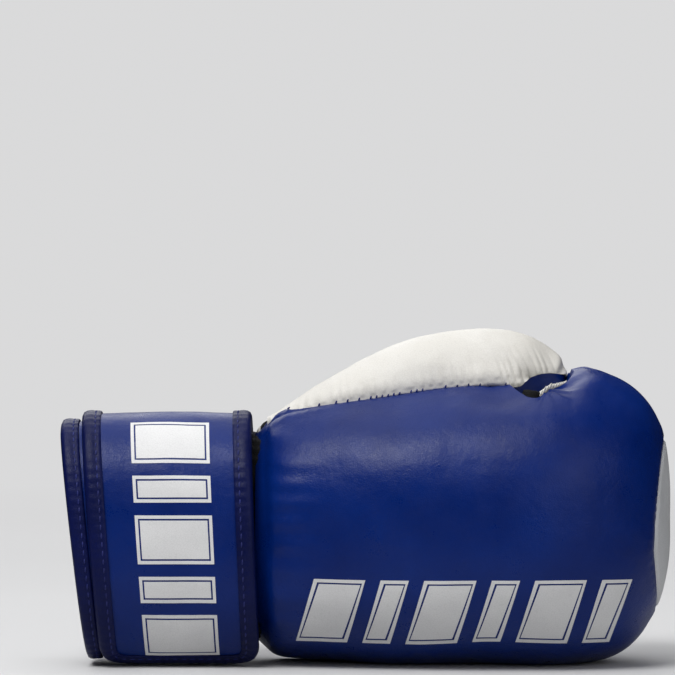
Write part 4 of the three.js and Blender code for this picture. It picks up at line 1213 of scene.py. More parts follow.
# sinks past the seam with the back, and dips at the seam on the palm side
past = (thumb_angle - np.interp(thumb_row, SEAM_ROWS, SEAM_ANGLES)) * half_z
sink = np.minimum(6.0, 0.4 * half_z) * rise(past, 0.4, 5.0) * fall(plain_thumb[..., 0], 211, 8)
thumb_grid -= thumb_normal * sink[..., None]
from_seam = np.abs(thumb_angle - angle_start) * half_z
dip = 1.1 * bell(from_seam, 1.4) * fall(plain_thumb[..., 0], 234, 8)
thumb_grid -= thumb_normal * dip[..., None]

HINGE_START, HINGE_END = np.array([106.0, -10, 120]), np.array([216.0, -12.5, 131])


def thumb_share(points):
    """Share of the thumb's swing: none at the back seam it turns about, all further out."""
    axis = unit(HINGE_END - HINGE_START)
    away = points - HINGE_START
    dist = np.linalg.norm(away - (away @ axis)[..., None] * axis, axis=-1)
    return rise(dist, 1.5, 13) * rise(points[..., 0], 98, 30)


attach(sheet("thumb_outer_skin", thumb_grid, WHITE, flip=True), MITT_AND_THUMB,
       thumb_share(thumb_grid), ("thumb_outer", "thumb_foam"))

# ------------------------------------------------------------------ thumb, blue inside
# x, z where the blue inside meets the palm
BLUE_LOW = rounded([
    [88, 109.2], [93, 107.6], [102, 104.6], [111.6, 101.4], [123.3, 97.9], [135.8, 96.4],
    [148.3, 97.1], [160, 99.9], [171, 103.6], [180, 107.0], [190, 109.0], [204, 110.3],
    [216, 111.8], [228, 114.5]], 1.0)


def blue_low_at(x):
    return np.interp(x, BLUE_LOW[:, 0], BLUE_LOW[:, 1])


def inner_grid(rows=150, cols=44):
    """From the thumb's palm-side seam down to the palm; also gives the way down, 0 to 1."""
    place = np.linspace(101.5, 226, rows)
    row = thumb_row_at(place)
    top = thumb(row, palm_seam_angle(row))[:, None]
    bottom = palm_at(place, blue_low_at(place) - 1.6, np.full(rows, -0.2))[:, None]
    down = np.linspace(0, 1, cols)
    grid = top * (1 - down[:, None]) + bottom * down[:, None]
    sag = np.sin(np.pi * down ** 0.6) * 1.7 * (1 - down) ** 0.5
    grid[..., 1] -= sag * rise(grid[..., 0], 92, 12)
    grid[..., 1] += 0.9 * rise(down, 0.45, 0.3) * fall(down, 1.0, 0.12)
    grid = grid - np.array([0, 1.2, 0.6]) * bell(down[:, None], 0.06)
    x = grid[..., 0]
    ripple = 0.2 * np.sin(x / 0.9 + np.sin(x / 8)) * np.exp(-down / 0.15)
    height = 0.35 * medium(grid) + ripple
    return grid + grid_normals(grid, 70, 20, axis=1) * height[..., None], down


inner, inner_down = inner_grid()
attach(sheet("thumb_inner_skin", inner, BLUE), MITT_AND_THUMB,
       thumb_share(inner) * smooth(1 - inner_down), ("thumb_inner", "thumb_web"))


# ------------------------------------------------------------------ root of the thumb
def root_piece(name, start, end, rows, raised, material, span, trim=False):
    """Part of the arch between the back's edge and the palm; span is its part of the way over."""
    cols = 40
    x = np.linspace(start, end, rows)
    row = np.interp(x, MITT[:6, 2], np.arange(6))
    turn = np.interp(row, EDGE_ROWS, EDGE_TURNS) + 0.035
    back = (mitt(row, turn) - mitt_normal(row, turn) * 1.3)[:, None]
    palm = palm_at(x, blue_low_at(x) - 1.5, np.full(rows, -0.3))[:, None]
    over = np.linspace(*span, cols)
    grid = back * (1 - over[:, None]) + palm * over[:, None]
    arch = np.interp(x, [90.5, 92.5, 94.5, 97, 100, 102.5], [1.0, 3.0, 5.6, 6.4, 5.4, 3.6])
    grid[..., 2] += (arch[:, None] + raised) * np.sin(np.pi * over) ** 0.75
    grid[..., 2] += 0.15 * np.sin(over * 40 + x[:, None])
    grid[..., 1] -= 1.5 * np.sin(np.pi * over)
    if trim:
        domed = np.sin(np.pi * np.linspace(0, 1, rows))[:, None] ** 0.5
        grid[..., 2] += 0.5 * domed * np.sin(np.pi * np.linspace(0, 1, cols)) ** 0.5
    attach(slab(name, grid, grid - [0, 0, 1.0], material), "mitt")


# a black stretch patch beside blue leather, with white trim at both ends of the patch
root_piece("thumb_root_patch", 91.0, 103.0, 30, 0.0, MESH, (0.0, 0.56))
root_piece("thumb_root_side", 91.0, 103.0, 30, 0.2, BLUE, (0.54, 1.0))
root_piece("thumb_root_trim_wrist", 91.3, 93.4, 8, 0.7, WHITE, (0.0, 0.55), trim=True)
root_piece("thumb_root_trim_thumb", 100.9, 103.2, 8, 0.8, WHITE, (0.0, 0.55), trim=True)

# ------------------------------------------------------------------ blue underside of the tip
TIP_STEPS = 60
tip_rows = thumb_row_at(np.linspace(203, 239.2, TIP_STEPS))
tip_start = lip_angle(tip_rows)[:, None]
tip_end = palm_seam_angle(tip_rows)[:, None] + 2 * math.pi
share = np.linspace(0, 1, TIP_STEPS)[None]
tip, tip_normal = thumb_surface(widen(tip_rows, TIP_STEPS),
                                tip_start + (tip_end - tip_start) * share)
hollow = 0.6 + 2.3 * np.sin(np.pi * share) ** 0.7 * fall(tip[..., 0], 239.4, 9)
tip = tip - tip_normal * hollow[..., None]
attach(sheet("thumb_tip_inner_skin", tip, BLUE, flip=True), "thumb")

# ------------------------------------------------------------------ palm outlines (x, z)
GRIP_LINE = rounded([
    [182, 115], [178.8, 106.9], [175.6, 95.2], [173.7, 82.7], [173, 71.7], [173.5, 60],
    [175.2, 48.3], [178, 36.6], [181.9, 24.8], [185.4, 17.4], [189.5, 8]])
HEEL_LINE = rounded([
    [163, 4], [156.5, 15.5], [150.6, 25.6], [145.2, 36.6], [140, 48.3], [134.2, 59.6],
    [122.5, 71.7], [108.4, 80.3], [93.6, 87.6], [86, 91.5]])
STRIP_LOW = rounded([
    [171.6, 103.9], [164.6, 96.2], [154.5, 90.5], [144.4, 87.6], [134.2, 87], [123.3, 88.0],
    [109.2, 91.1], [93.6, 94.9], [86, 96.8]])
STRIP_HIGH = rounded([
    [86, 110.1], [93, 107.8], [102, 104.8], [111.6, 101.6], [123.3, 98.1], [135.8, 96.6],
    [148.3, 97.3], [160, 100.0], [171.6, 103.9]])
GUARD_LINE = rounded([
    [86, 63.4], [93.6, 63.3], [103, 62.7], [111.5, 60], [117, 54.5], [119, 46.7],
    [118.6, 38.1], [115.5, 31.1], [108.5, 26.5], [100.6, 24.5], [92.8, 24], [86, 24]])
SLIT_LINE = rounded([
    [86, 55.6], [94.9, 55.8], [101.4, 56.1], [106.2, 54.5], [109.6, 49.8], [110.4, 44.4],
    [108.9, 38.1], [103.8, 33.5], [95.2, 32.3], [86, 32.3]])
GRIP_END = rounded([
    [198.4, 115], [198, 109.6], [197.2, 91], [198, 75.7], [198.7, 62.4], [200.7, 35.8],
    [203, 20], [206, 6]])
MIDDLE_END = rounded([
    [214.6, 115], [214, 112.4], [212.4, 103], [212, 91.3], [212.6, 60], [214.3, 30], [216, 6]])
WRIST = 89.6
HALF_GAP = 0.35  # between neighbouring panels


def low_line(start, end):
    x = np.linspace(start, end, max(2, int(abs(end - start) / 2)))
    return np.stack([x, palm_low(x)], 1)


def above_low(path):
    return path[path[:, 1] > palm_low(path[:, 0])]


def past_wrist(path):
    return path[path[:, 0] > WRIST]


def below_z(path, z):
    return path[path[:, 1] < z]


heel_edge = past_wrist(above_low(HEEL_LINE))
guard_edge, slit_edge = past_wrist(GUARD_LINE), past_wrist(SLIT_LINE)
strip_low, strip_high = past_wrist(STRIP_LOW), past_wrist(STRIP_HIGH)
grip_edge = below_z(above_low(GRIP_LINE), 110.3)
grip_end = below_z(above_low(GRIP_END), 111.0)
middle_end = below_z(above_low(MIDDLE_END), 111.6)

heel_outline = join(
    heel_edge, [WRIST, heel_edge[-1, 1]], [WRIST, guard_edge[0, 1] + HALF_GAP],
    offset(guard_edge, HALF_GAP), [WRIST, guard_edge[-1, 1] - HALF_GAP],
    low_line(WRIST, heel_edge[0, 0]))
guard_outline = join(
    [WRIST, guard_edge[0, 1] - HALF_GAP], offset(guard_edge, -HALF_GAP),
    [WRIST, guard_edge[-1, 1] + HALF_GAP], [WRIST, slit_edge[-1, 1]], slit_edge[::-1],
    [WRIST, slit_edge[0, 1]])
strip_outline = join(strip_low, [WRIST, strip_low[-1, 1]], [WRIST, strip_high[0, 1]],
                     strip_high[:-1])
grip_outline = join(
    grip_edge, low_line(grip_edge[-1, 0], grip_end[-1, 0])[1:],
    (grip_end - [HALF_GAP, 0])[::-1], [grip_end[0, 0] - HALF_GAP, 110.9])
middle_outline = join(
    grip_end + [HALF_GAP, 0], low_line(grip_end[-1, 0], middle_end[-1, 0])[1:-1],
    (middle_end - [HALF_GAP, 0])[::-1])
finger_outline = join(middle_end + [HALF_GAP, 0], low_line(middle_end[-1, 0], 227)[1:],
                      [227, 112.5])
mesh_outline = join(
    low_line(WRIST, 226), [226, 113], below_z(BLUE_LOW, 113.5)[::-1] - [0, 1.2],
    [WRIST, slit_edge[0, 1] + 1.5], slit_edge[5:-5:3] + [1.6, 0],
    [WRIST, slit_edge[-1, 1] - 1.5])


# ------------------------------------------------------------------ palm panels
def puff(height, rate, seed):
    """Padding that rises away from the edge, with some unevenness."""
    broad, fine = Waves(26, seed=seed), Waves(9, seed=seed + 1)

    def bump(flat, dist):
        points = np.stack([flat[:, 0], np.zeros(len(flat)), flat[:, 1]], 1)
        uneven = (0.28 * broad(points) + 0.07 * fine(points)) * smooth(dist / 4)
        return height * (1 - np.exp(-dist / rate)) + uneven

    return bump


mesh_puff = puff(0.5, 12, 21)


def mesh_bump(flat, dist):
    """Adds a mound near the lower edge."""
    mound = np.exp(-((flat[:, 0] - 169) / 12) ** 2 - ((flat[:, 1] - 13) / 8) ** 2)
    return mesh_puff(flat, dist) + 1.1 * mound * smooth(dist / 2)


def attach_palm(piece, replaces=()):
    """Rides the hand; a piece that reaches in under the cuff is only baked where it stands."""
    x = verts_of(piece)[:, 0]
    if x.min() < 99:
        attach(piece, ("cuff", "mitt"), rise(x, 88.5, 10), replaces)
    else:
        attach(piece, "mitt", replaces=replaces)


attach_palm(panel("palm_mesh_layer", mesh_outline, palm_at, MESH, top=-0.35, bottom=-1.3,
                  edge=0.8, spacing=2.4, bump=mesh_bump), ["palm_mesh"])

PANEL_TOP, PANEL_BOTTOM, PANEL_EDGE = 0.9, -0.5, 1.1
palm_panels = []  # outline and bump of each
for name, outline, height, rate, seed, replaced in (
        ("palm_heel_panel", heel_outline, 1.3, 9, 31, "palm_heel"),
        ("slit_guard_panel", guard_outline, 0.5, 5, 41, "slit_guard"),
        ("palm_thumb_strip_panel", strip_outline, 0.3, 4, 51, "palm_thumb_strip"),
        ("palm_grip_panel", grip_outline, 1.2, 7, 61, "palm_grip_band"),
        ("palm_middle_panel", middle_outline, 0.9, 5, 71, "palm_middle_band"),
        ("palm_finger_panel", finger_outline, 0.6, 5, 81, "palm_finger_band")):
    bump = puff(height, rate, seed)
    palm_panels.append((outline, bump))
    attach_palm(panel(name, outline, palm_at, WHITE, top=PANEL_TOP, bottom=PANEL_BOTTOM,
                      edge=PANEL_EDGE, spacing=1.7, bump=bump), [replaced])

# rolled binding round the end of the wrist slit
SLIT_PROFILE = [  # inwards, height
    (0.6, 0.4), (0.1, 1.0), (0.5, 1.7), (1.6, 2.15), (3.0, 2.0), (4.1, 1.4), (4.7, 0.2),
    (4.3, -1.4), (3.0, -2.0), (2.2, -1.0), (1.6, 0.2)]
slit_path = resample(slit_edge[::-1], 0.7)
slit_probe = (slit_path + side_normals(slit_path) * 2)[len(slit_path) // 2][None]
if not in_poly(slit_probe, slit_edge)[0]:  # the hole has to be on the left
    slit_path = slit_path[::-1]
attach_palm(tape("slit_end_binding", slit_path, palm_at, SLIT_PROFILE, NAVY, wobble=0.12),
            ["slit_binding"])


# ------------------------------------------------------------------ palm stitching
def panel_height(flat):
    """Height of the palm panels over the palm surface, -1 where there is none."""
    best = np.full(len(flat), -1.0)
    for outline, bump in palm_panels:
        inside = in_poly(flat, outline)
        if not inside.any():
            continue
        dist = nearest(flat[inside], resample(outline, 0.5, True))[0]
        lift = np.sqrt(np.clip(1 - (1 - np.clip(dist / PANEL_EDGE, 0, 1)) ** 2, 0, 1))
        best[inside] = (PANEL_BOTTOM + (PANEL_TOP - PANEL_BOTTOM) * lift
                        + bump(flat[inside], dist) * lift)
    return best


def seam_rows(path, towards, *distances):
    """Stitch lines at distances from a panel edge, on the side of the point towards."""
    middle = len(path) // 2
    left = (np.asarray(towards) - path[middle]) @ side_normals(path)[middle] > 0
    lines = []
    for distance in distances:
        line = offset(path, distance if left else -distance)
        line = line[(line[:, 1] > palm_low(line[:, 0]) + 0.8) & (line[:, 1] < 112)
                    & (line[:, 0] > WRIST + 0.3)]
        height = panel_height(line)
        lines.append(on_surface(line[height > 0], palm_at, height[height > 0]))
    return lines


palm_rows = (
    seam_rows(grip_edge, (186, 60), 1.7, 3.7)
    + seam_rows(grip_end, (190, 60), 1.3) + seam_rows(grip_end, (210, 60), 1.3)
    + seam_rows(middle_end, (205, 60), 1.3)
    + seam_rows(heel_edge, (110, 40), 1.7, 3.7)
    + seam_rows(guard_edge, (100, 43), 1.5) + seam_rows(guard_edge, (160, 43), 1.5)
    + seam_rows(strip_low, (125, 95), 1.9) + seam_rows(strip_high, (125, 90), 1.5))
attach_palm(stitches("palm_stitching", palm_rows, THREAD_DARK,
                     length=2.5, pitch=3.3, radius=0.30, sink=0.10))

# ------------------------------------------------------------------ thumb tie
# ribbed elastic that ties the thumb to the finger roll
down, over = np.meshgrid(np.linspace(0, 1, 34), np.linspace(0, 1, 26), indexing="ij")
tie_x = 219.3 + 0.4 * down + (8.6 - 0.6 * down) * over
tie_y = 23.6 - 3.6 * np.sin(down * np.pi) - 1.2 * down + 0.18 * np.sin(over * 2 * np.pi * 9)
tie_grid = np.stack([tie_x, tie_y, 126.0 - 15.5 * down], -1)
tie = slab("thumb_tie_elastic", tie_grid, tie_grid - [0, 1.5, 0], WEBBING, flip=True)
attach(tie, MITT_AND_THUMB, rise(verts_of(tie)[:, 2], 111, 13), ["thumb_tie"])

# ------------------------------------------------------------------ wrist gusset
gusset_x, gusset_degrees = np.meshgrid(
    np.linspace(82.0, 99.0, 30),
    np.concatenate([np.linspace(-161.0, 0, 120)[:-1], np.linspace(0, 185.0, 137)]),
    indexing="ij")


def gusset_at(x, degrees, off):
    """From the cuff's section to the smaller one of the hand."""
    share = rise(x, 84, 8.0)
    cuff_y, cuff_z = cuff_ring(degrees, -0.6 + off)
    angle, power = np.radians(degrees), 2 / CUFF_POWER
    hand_y = -(28.3 + off) * signed_power(np.cos(angle), power)
    hand_z = 59.5 + (47.6 + off) * signed_power(np.sin(angle), power)
    z = np.maximum(cuff_z + (hand_z - cuff_z) * share, 0.4)
    return np.stack([x, cuff_y + (hand_y - cuff_y) * share, z], -1)


ruck = 0.35 * np.sin(gusset_degrees / 2.3 + 1.5 * np.sin(gusset_degrees / 9))
ruck = ruck * np.sin(np.pi * np.clip((gusset_x - 84) / 13, 0, 1))
gusset = slab("wrist_gusset", gusset_at(gusset_x, gusset_degrees, ruck),
              gusset_at(gusset_x, gusset_degrees, ruck - 1.0), MESH, flip=True)
attach(gusset, ("cuff", "mitt"), rise(verts_of(gusset)[:, 0], 85, 9))

# ------------------------------------------------------------------ cuff
CUFF_CORNER = 5.0
THUMB_EDGE, LITTLE_EDGE = run_at(185.5), run_at(198.5 - 360)
FLOOR_MEET = run_at(-92)  # the halves meet on the side that faces the floor
THUMB_LINE = join(
    [CUFF_END, THUMB_EDGE],
    round_corner((CUFF_END, THUMB_EDGE), (0, THUMB_EDGE), (0, FLOOR_MEET), CUFF_CORNER),
    [0, FLOOR_MEET])
LITTLE_LINE = join(
    [0, FLOOR_MEET],
    round_corner((0, FLOOR_MEET), (0, LITTLE_EDGE), (CUFF_END, LITTLE_EDGE), CUFF_CORNER),
    [CUFF_END, LITTLE_EDGE])
CUFF_PROFILE = [  # inwards, height; wraps the edge from outside to inside
    (8.6, 0.2), (8.7, 0.75), (8.2, 1.15), (7.2, 1.35), (6.2, 1.12), (5.2, 1.38), (3.6, 1.5),
    (2.0, 1.35), (0.9, 0.8), (0.2, -0.6), (0.0, -3.2), (0.2, -5.9), (0.9, -7.0), (2.0, -7.5),
    (3.8, -7.6), (5.6, -7.4), (6.2, -6.9), (6.1, -6.3), (2.0, -6.1), (1.5, -3.2), (2.0, 0.0)]
BINDING_STITCH = dict(length=2.9, pitch=4.0, radius=0.42, sink=-0.04)
cuff_waves = Waves(24, seed=91)


def cuff_bump(flat, dist):
    points = cuff_at(flat[:, 0], flat[:, 1], 0.0)
    return (0.08 * cuff_waves(points) - 0.2) * smooth(dist / 5)


def cuff_half(side, line, fold_z, fold_x_part, fold_z_part, replaced):
    """Leather, lining, binding and stitches of one half, baked where they stand."""

    def attach_half(piece, *layers):
        x, y, z = verts_of(piece).T
        past_fold = (x - 86.5) * fold_x_part + (z - fold_z) * fold_z_part
        attach(piece, ("cuff", f"cuff_{side}_flap"), smooth(past_fold / 5.0) * (y > 3),
               [part + layer for layer in layers for part in replaced])

    outline = join(resample(offset(line, 1.0), 1.0), [CUFF_END, FLOOR_MEET])
    attach_half(panel(f"cuff_{side}_leather", outline, cuff_at, BLUE, top=0.35, bottom=-2.8,
                      edge=1.2, spacing=3.2, bump=cuff_bump), "leather", "padding")
    attach_half(panel(f"cuff_{side}_lining", outline, cuff_inside, LINING, top=3.3, bottom=-0.4,
                      edge=1.4, spacing=3.6, flip=True), "lining")
    attach_half(tape(f"cuff_{side}_binding", resample(line, 1.1), cuff_at, CUFF_PROFILE, NAVY,
                     wobble=0.14), "binding")
    thread_line = resample(offset(line, 6.2), 0.5)
    thread_line = thread_line[thread_line[:, 0] < 84]
    attach_half(stitches(f"cuff_{side}_stitching", [on_surface(thread_line, cuff_at, 1.22)],
                         THREAD, **BINDING_STITCH))


cuff_half("thumb", THUMB_LINE, fold_z=51.6, fold_x_part=-0.5025, fold_z_part=-0.8645,
          replaced=("cuff_thumb_flap_", "cuff_back_"))
cuff_half("little", LITTLE_LINE, fold_z=38.4, fold_x_part=-0.2712, fold_z_part=0.9625,
          replaced=("cuff_little_flap_",))

# ------------------------------------------------------------------ strap
STRAP_ROOT, STRAP_MIDDLE, STRAP_TIP = run_at(232), run_at(90), run_at(-76)
STRAP_COLUMNS = 58
STRAP_PROFILE = [  # inwards, height
    (8.7, 4.1), (8.9, 4.75), (8.4, 5.1), (7.4, 5.25), (6.4, 5.05), (5.4, 5.3), (3.8, 5.45),
    (2.0, 5.25), (0.7, 4.6), (0.0, 3.2), (0.5, 1.9), (1.8, 1.25), (5.6, 1.2), (6.1, 1.6),
    (5.8, 2.0), (2.2, 2.1), (1.6, 3.2), (2.4, 3.9)]
strap_waves, strap_ripples = Waves(34, seed=101), Waves(12, seed=103)


def strap_degrees(points):
    """Angle round the wrist, growing past the palm side without a break."""
    y, z = points[:, 1], points[:, 2] - CUFF_Z
    angle = np.degrees(np.arctan2(signed_power(z / (CUFF_HALF_Z + 3), CUFF_POWER / 2),
                                  -signed_power(y / (CUFF_HALF_Y + 3), CUFF_POWER / 2)))
    return np.where(angle < -110, angle + 360, angle)


def attach_strap(piece, inner, replaces=()):
    degrees = strap_degrees(verts_of(piece))
    if inner:
        attach(piece, ("strap_palm", "strap_side"), 1 - rise(degrees, 111, 34), replaces)
    else:
        attach(piece, ("strap_side", "strap_back"), 1 - rise(degrees, 35, 34), replaces)


def strap_height(width, run):
    """Height of the strap's padded leather over the cuff."""
    points = strap_at(width, run, 4.0)
    padding = 0.5 * np.sin(np.pi * np.clip((width - 9) / 62, 0, 1)) ** 0.6
    return 4.0 + padding + 0.16 * strap_waves(points) + 0.04 * strap_ripples(points)


def strap_half(tag, start, end, tip, radius, sides, corner_points, leathers, bindings):
    """One end of the strap; tip and radius are its rounded end, sides its long edges in order."""
    inner = tag == "strap_inner"
    run = np.linspace(start, end, int(abs(end - start) / 1.5))
    near_tip = np.clip((radius - np.abs(run - tip)) / radius, 0, 1)
    inset = 1.3 + radius * (1 - np.sqrt(np.clip(1 - near_tip ** 2, 0, 1))) * 0.97
    inset = inset[:, None]
    width = inset + (STRAP_WIDTH - 2 * inset) * np.linspace(0, 1, STRAP_COLUMNS)[None]
    run = widen(run, STRAP_COLUMNS)
    height = strap_height(width, run)
    leather_part = slab(f"{tag}_leather", strap_at(width, run, height),
                        strap_at(width, run, np.full_like(height, 2.2)), BLUE)
    first, last = sides
    path = resample(join(
        [first, STRAP_MIDDLE],
        round_corner((first, STRAP_MIDDLE), (first, tip), (last, tip), radius, corner_points),
        round_corner((first, tip), (last, tip), (last, STRAP_MIDDLE), radius, corner_points),
        [last, STRAP_MIDDLE]), 1.1)
    binding = tape(f"{tag}_binding", path, strap_at, STRAP_PROFILE, NAVY, wobble=0.16)
    binding.data.set_sharp_from_angle(angle=math.radians(70))
    thread_line = on_surface(resample(offset(path, 6.4), 0.5), strap_at, 5.12)
    threads = stitches(f"{tag}_stitching", [thread_line], THREAD, **BINDING_STITCH)
    attach_strap(leather_part, inner, leathers)
    attach_strap(binding, inner, bindings)
    attach_strap(threads, inner)


strap_half("strap_inner", STRAP_ROOT - 1.2, STRAP_MIDDLE, tip=STRAP_ROOT, radius=4.0,
           sides=(STRAP_WIDTH, 0), corner_points=14,
           leathers=("strap_palm_leather", "strap_side_leather"),
           bindings=("strap_palm_binding_wrist", "strap_palm_binding_hand",
                     "strap_side_binding_wrist", "strap_side_binding_hand"))
strap_half("strap_outer", STRAP_MIDDLE, STRAP_TIP + 1.4, tip=STRAP_TIP, radius=15.0,
           sides=(0, STRAP_WIDTH), corner_points=26,
           leathers=("strap_back_leather",), bindings=("strap_back_binding",))

# ------------------------------------------------------------------ hook-and-loop tapes
pile_waves, pile_ripples = Waves(3.0, count=20, seed=61), Waves(1.4, count=20, seed=62)
TAPE_SEAM = 2.2  # from the tape's edge to its stitches


def box_line(left, right, low, high, radius):
    corners = [(left, high), (left, low), (right, low), (right, high)]
    return join(*(round_corner(corners[k - 1], corners[k], corners[(k + 1) % 4], radius)
                  for k in (1, 2, 3, 0)))


def tape_field(name, stitch_name, left, right, degrees, surface, pile, top, bottom, edge,
               stitch_height, stitch_radius, flip=False):
    """A rectangle of hook or loop tape, and its stitches."""
    low, high = (run_at(angle) for angle in degrees)

    def bump(flat, dist):
        points = np.stack([flat[:, 0], np.zeros(len(flat)), flat[:, 1]], 1)
        return pile * (0.6 * pile_waves(points) + 0.4 * pile_ripples(points)) * smooth(dist / 1.2)

    field = panel(name, box_line(left, right, low, high, 3.0), surface, HOOK, top=top,
                  bottom=bottom, edge=edge, spacing=1.7, bump=bump, flip=flip)
    ring = box_line(left + TAPE_SEAM, right - TAPE_SEAM, low + TAPE_SEAM, high - TAPE_SEAM, 2.0)
    line = on_surface(resample(np.vstack([ring, ring[:1]]), 0.5), surface, stitch_height)
    threads = stitches(stitch_name, [line], THREAD_DARK, length=2.3, pitch=3.2,
                       radius=stitch_radius, sink=0.0)
    return field, threads


field, threads = tape_field(
    "cuff_loop_field", "cuff_loop_stitching", left=22, right=78, degrees=(-66, 40),
    surface=cuff_at, pile=0.16, top=1.05, bottom=0.1, edge=0.7, stitch_height=1.15,
    stitch_radius=0.30)
attach(field, "cuff", replaces=["cuff_loop_tape"])
attach(threads, "cuff")
field, threads = tape_field(
    "strap_hook_field", "strap_hook_stitching", left=9.5, right=70.5, degrees=(-62, 14),
    surface=strap_inside, pile=0.12, top=0.92, bottom=-0.1, edge=0.6, stitch_height=0.98,
    stitch_radius=0.28, flip=True)
attach_strap(field, False, ["strap_hook_tape"])
attach_strap(threads, False)


# ------------------------------------------------------------------ thumb seam threads
def tree_of(grid):
    verts = [tuple(point) for point in grid.reshape(-1, 3)]
    return BVHTree.FromPolygons(verts, grid_faces(*grid.shape[:2]))


def closest(tree, point, outward):
    """Nearest point of a mesh, and its normal turned to the outward side."""
    hit, normal = tree.find_nearest(Vector(point))[:2]
    normal = np.array(normal)
    return np.array(hit), -normal if normal @ outward < 0 else normal


def seam_crossing():
    """Points and normals where the thumb's finished skin dives into the back's."""
    back_tree = tree_of(skin_grid)
    outward = np.array([0, -1.0, 0.35])
    row_x = spline(THUMB, row_r)[:, 0]
    points, normals = [], []
    for i in np.where((row_x > 106) & (row_x < 210.5))[0]:
        seam = float(np.interp(row_r[i], SEAM_ROWS, SEAM_ANGLES))
        near = (thumb_angle[i] > seam - 0.75) & (thumb_angle[i] < seam + 0.5)
        last = None
        for j in np.where(near)[0]:
            point = thumb_grid[i, j]
            hit, normal = closest(back_tree, point, outward)
            gap = (point - hit) @ normal
            if last is not None and last[0] > 0 >= gap:
                share = last[0] / (last[0] - gap)
                points.append(last[1] * (1 - share) + point * share)
                normals.append(unit(thumb_normal[i, j]))
                break
            last = (gap, point)
    return np.array(points), np.array(normals)


seam_points, seam_normals = seam_crossing()
seam_points = blur(seam_points, np.hanning(7))
seam_normals = unit(blur(seam_normals, np.hanning(7)))
upward = np.cross(np.gradient(seam_points, axis=0), seam_normals)
upward = unit(upward * np.sign(upward[:, 2:3]))
seam_points = seam_points + upward * 0.50
thumb_tree = tree_of(thumb_grid)
for i in range(len(seam_points)):
    hit, normal = closest(thumb_tree, seam_points[i], seam_normals[i])
    seam_points[i], seam_normals[i] = hit + normal * 0.30, normal
attach(cross_stitches("thumb_seam_stitching", seam_points, seam_normals, THREAD,
                      pitch=2.75, length=1.9, radius=0.38), "mitt")

# ------------------------------------------------------------------ printed bars
FILM_TOP, FILM_BOTTOM, FILM_STEP = 0.20, -0.35, 1.9
BAR_LINE, BAR_GAP = 1.5, 0.8  # outline's width, and the gap inside it


def back_at(x, z, off):
    """Point of the finished skin on the back with this x and z, and its row."""
    x, z, off = np.broadcast_arrays(*(np.asarray(v, float) for v in (x, z, off)))
    rows = np.linspace(0.0, 12.6, 700)
    start = np.interp(x, spline(MITT, rows)[:, 0], rows)
    row, turn = find_on_skin(x, z, start, rows, column=0, limit=0.995, tries=6)
    points = mitt(row, turn)
    height = skin_detail(points, row, turn) + off
    return points + mitt_normal(row, turn) * height[..., None], row


def bar(x, low, high, width, lean, inset=0.0):
    shift = lean * (high - low)
    return np.array([[x + inset, low + inset], [x + width - inset, low + inset],
                     [x + width + shift - inset, high - inset],
                     [x + shift + inset, high - inset]])


def bar_set(start, end, low, high, widths, lean):
    """Evenly spaced bars as (outline, hole): each a filled bar inside its own outline."""
    space = (end - start - lean * (high - low) - sum(widths)) / (len(widths) - 1)
    bars, x = [], start
    for width in widths:
        outer, hole, core = (bar(x, low, high, width, lean, inset)
                             for inset in (0.0, BAR_LINE, BAR_LINE + BAR_GAP))
        bars += [(outer, hole), (core, None)]
        x += width + space
    return bars


def along_sides(outline):
    """Points along a polygon's straight sides, every corner kept."""
    points = []
    for start, end in zip(outline, np.roll(outline, -1, 0)):
        count = max(1, int(round(np.linalg.norm(end - start) / FILM_STEP)))
        points += [start + (end - start) * k / count for k in range(count)]
    return np.array(points)


def film(name, bars, surface):
    """Thin printed film: several outlines in one mesh."""
    verts, faces = [], []
    for outer, hole in bars:
        loops = [along_sides(line) for line in (outer, hole) if line is not None]
        edges, base = [], 0
        for loop in loops:
            count = len(loop)
            edges += [(base + k, base + (k + 1) % count) for k in range(count)]
            base += count
        x0, y0 = outer.min(0)
        x1, y1 = outer.max(0)
        fill = np.array([(x, y) for x in np.arange(x0, x1, FILM_STEP)
                         for y in np.arange(y0, y1, FILM_STEP)])
        fill = fill[in_poly(fill, outer)]
        if hole is not None:
            fill = fill[~in_poly(fill, hole)]
        dense = np.vstack([resample(loop, 0.4, True) for loop in loops])
        fill = fill[nearest(fill, dense)[0] > FILM_STEP * 0.5]
        flat, tris = triangulate(np.vstack(loops + [fill]), edges, outer, hole)
        base, count = len(verts), len(flat)
        for off in (FILM_TOP, FILM_BOTTOM):
            verts += list(surface(flat[:, 0], flat[:, 1], np.full(count, off)))
        faces += [*(tris + base), *(tris[:, ::-1] + base + count)]
        # walls on the edges that only one triangle uses
        sides = dict.fromkeys((t[i], t[(i + 1) % 3]) for t in tris for i in range(3))
        for i, j in sides:
            if (j, i) not in sides:
                faces.append((base + i, base + i + count, base + j + count, base + j))
    piece = make(name, np.array(verts), faces, PRINT)
    piece.data.set_sharp_from_angle(angle=math.radians(40))
    return piece


hand_bars = bar_set(111, 266, 12.5, 43, widths=[24, 13, 24, 13, 24, 13], lean=0.28)
hand_print = film("printed_bars_hand", hand_bars, lambda x, z, off: back_at(x, z, off)[0])
print_verts = verts_of(hand_print)
print_row = back_at(print_verts[:, 0], np.clip(print_verts[:, 2], 8, 60), 0.0)[1]
attach(hand_print, MITT_AND_ROLL, roll_share(print_row))

strap_bars = bar_set(run_at(-62), run_at(68), 23, 60, widths=[22, 12, 22, 12, 22], lean=0.0)
attach_strap(film("printed_bars_strap", strap_bars, lambda run, width, off: strap_at(
    width, run, strap_height(width, run) + off)), False)

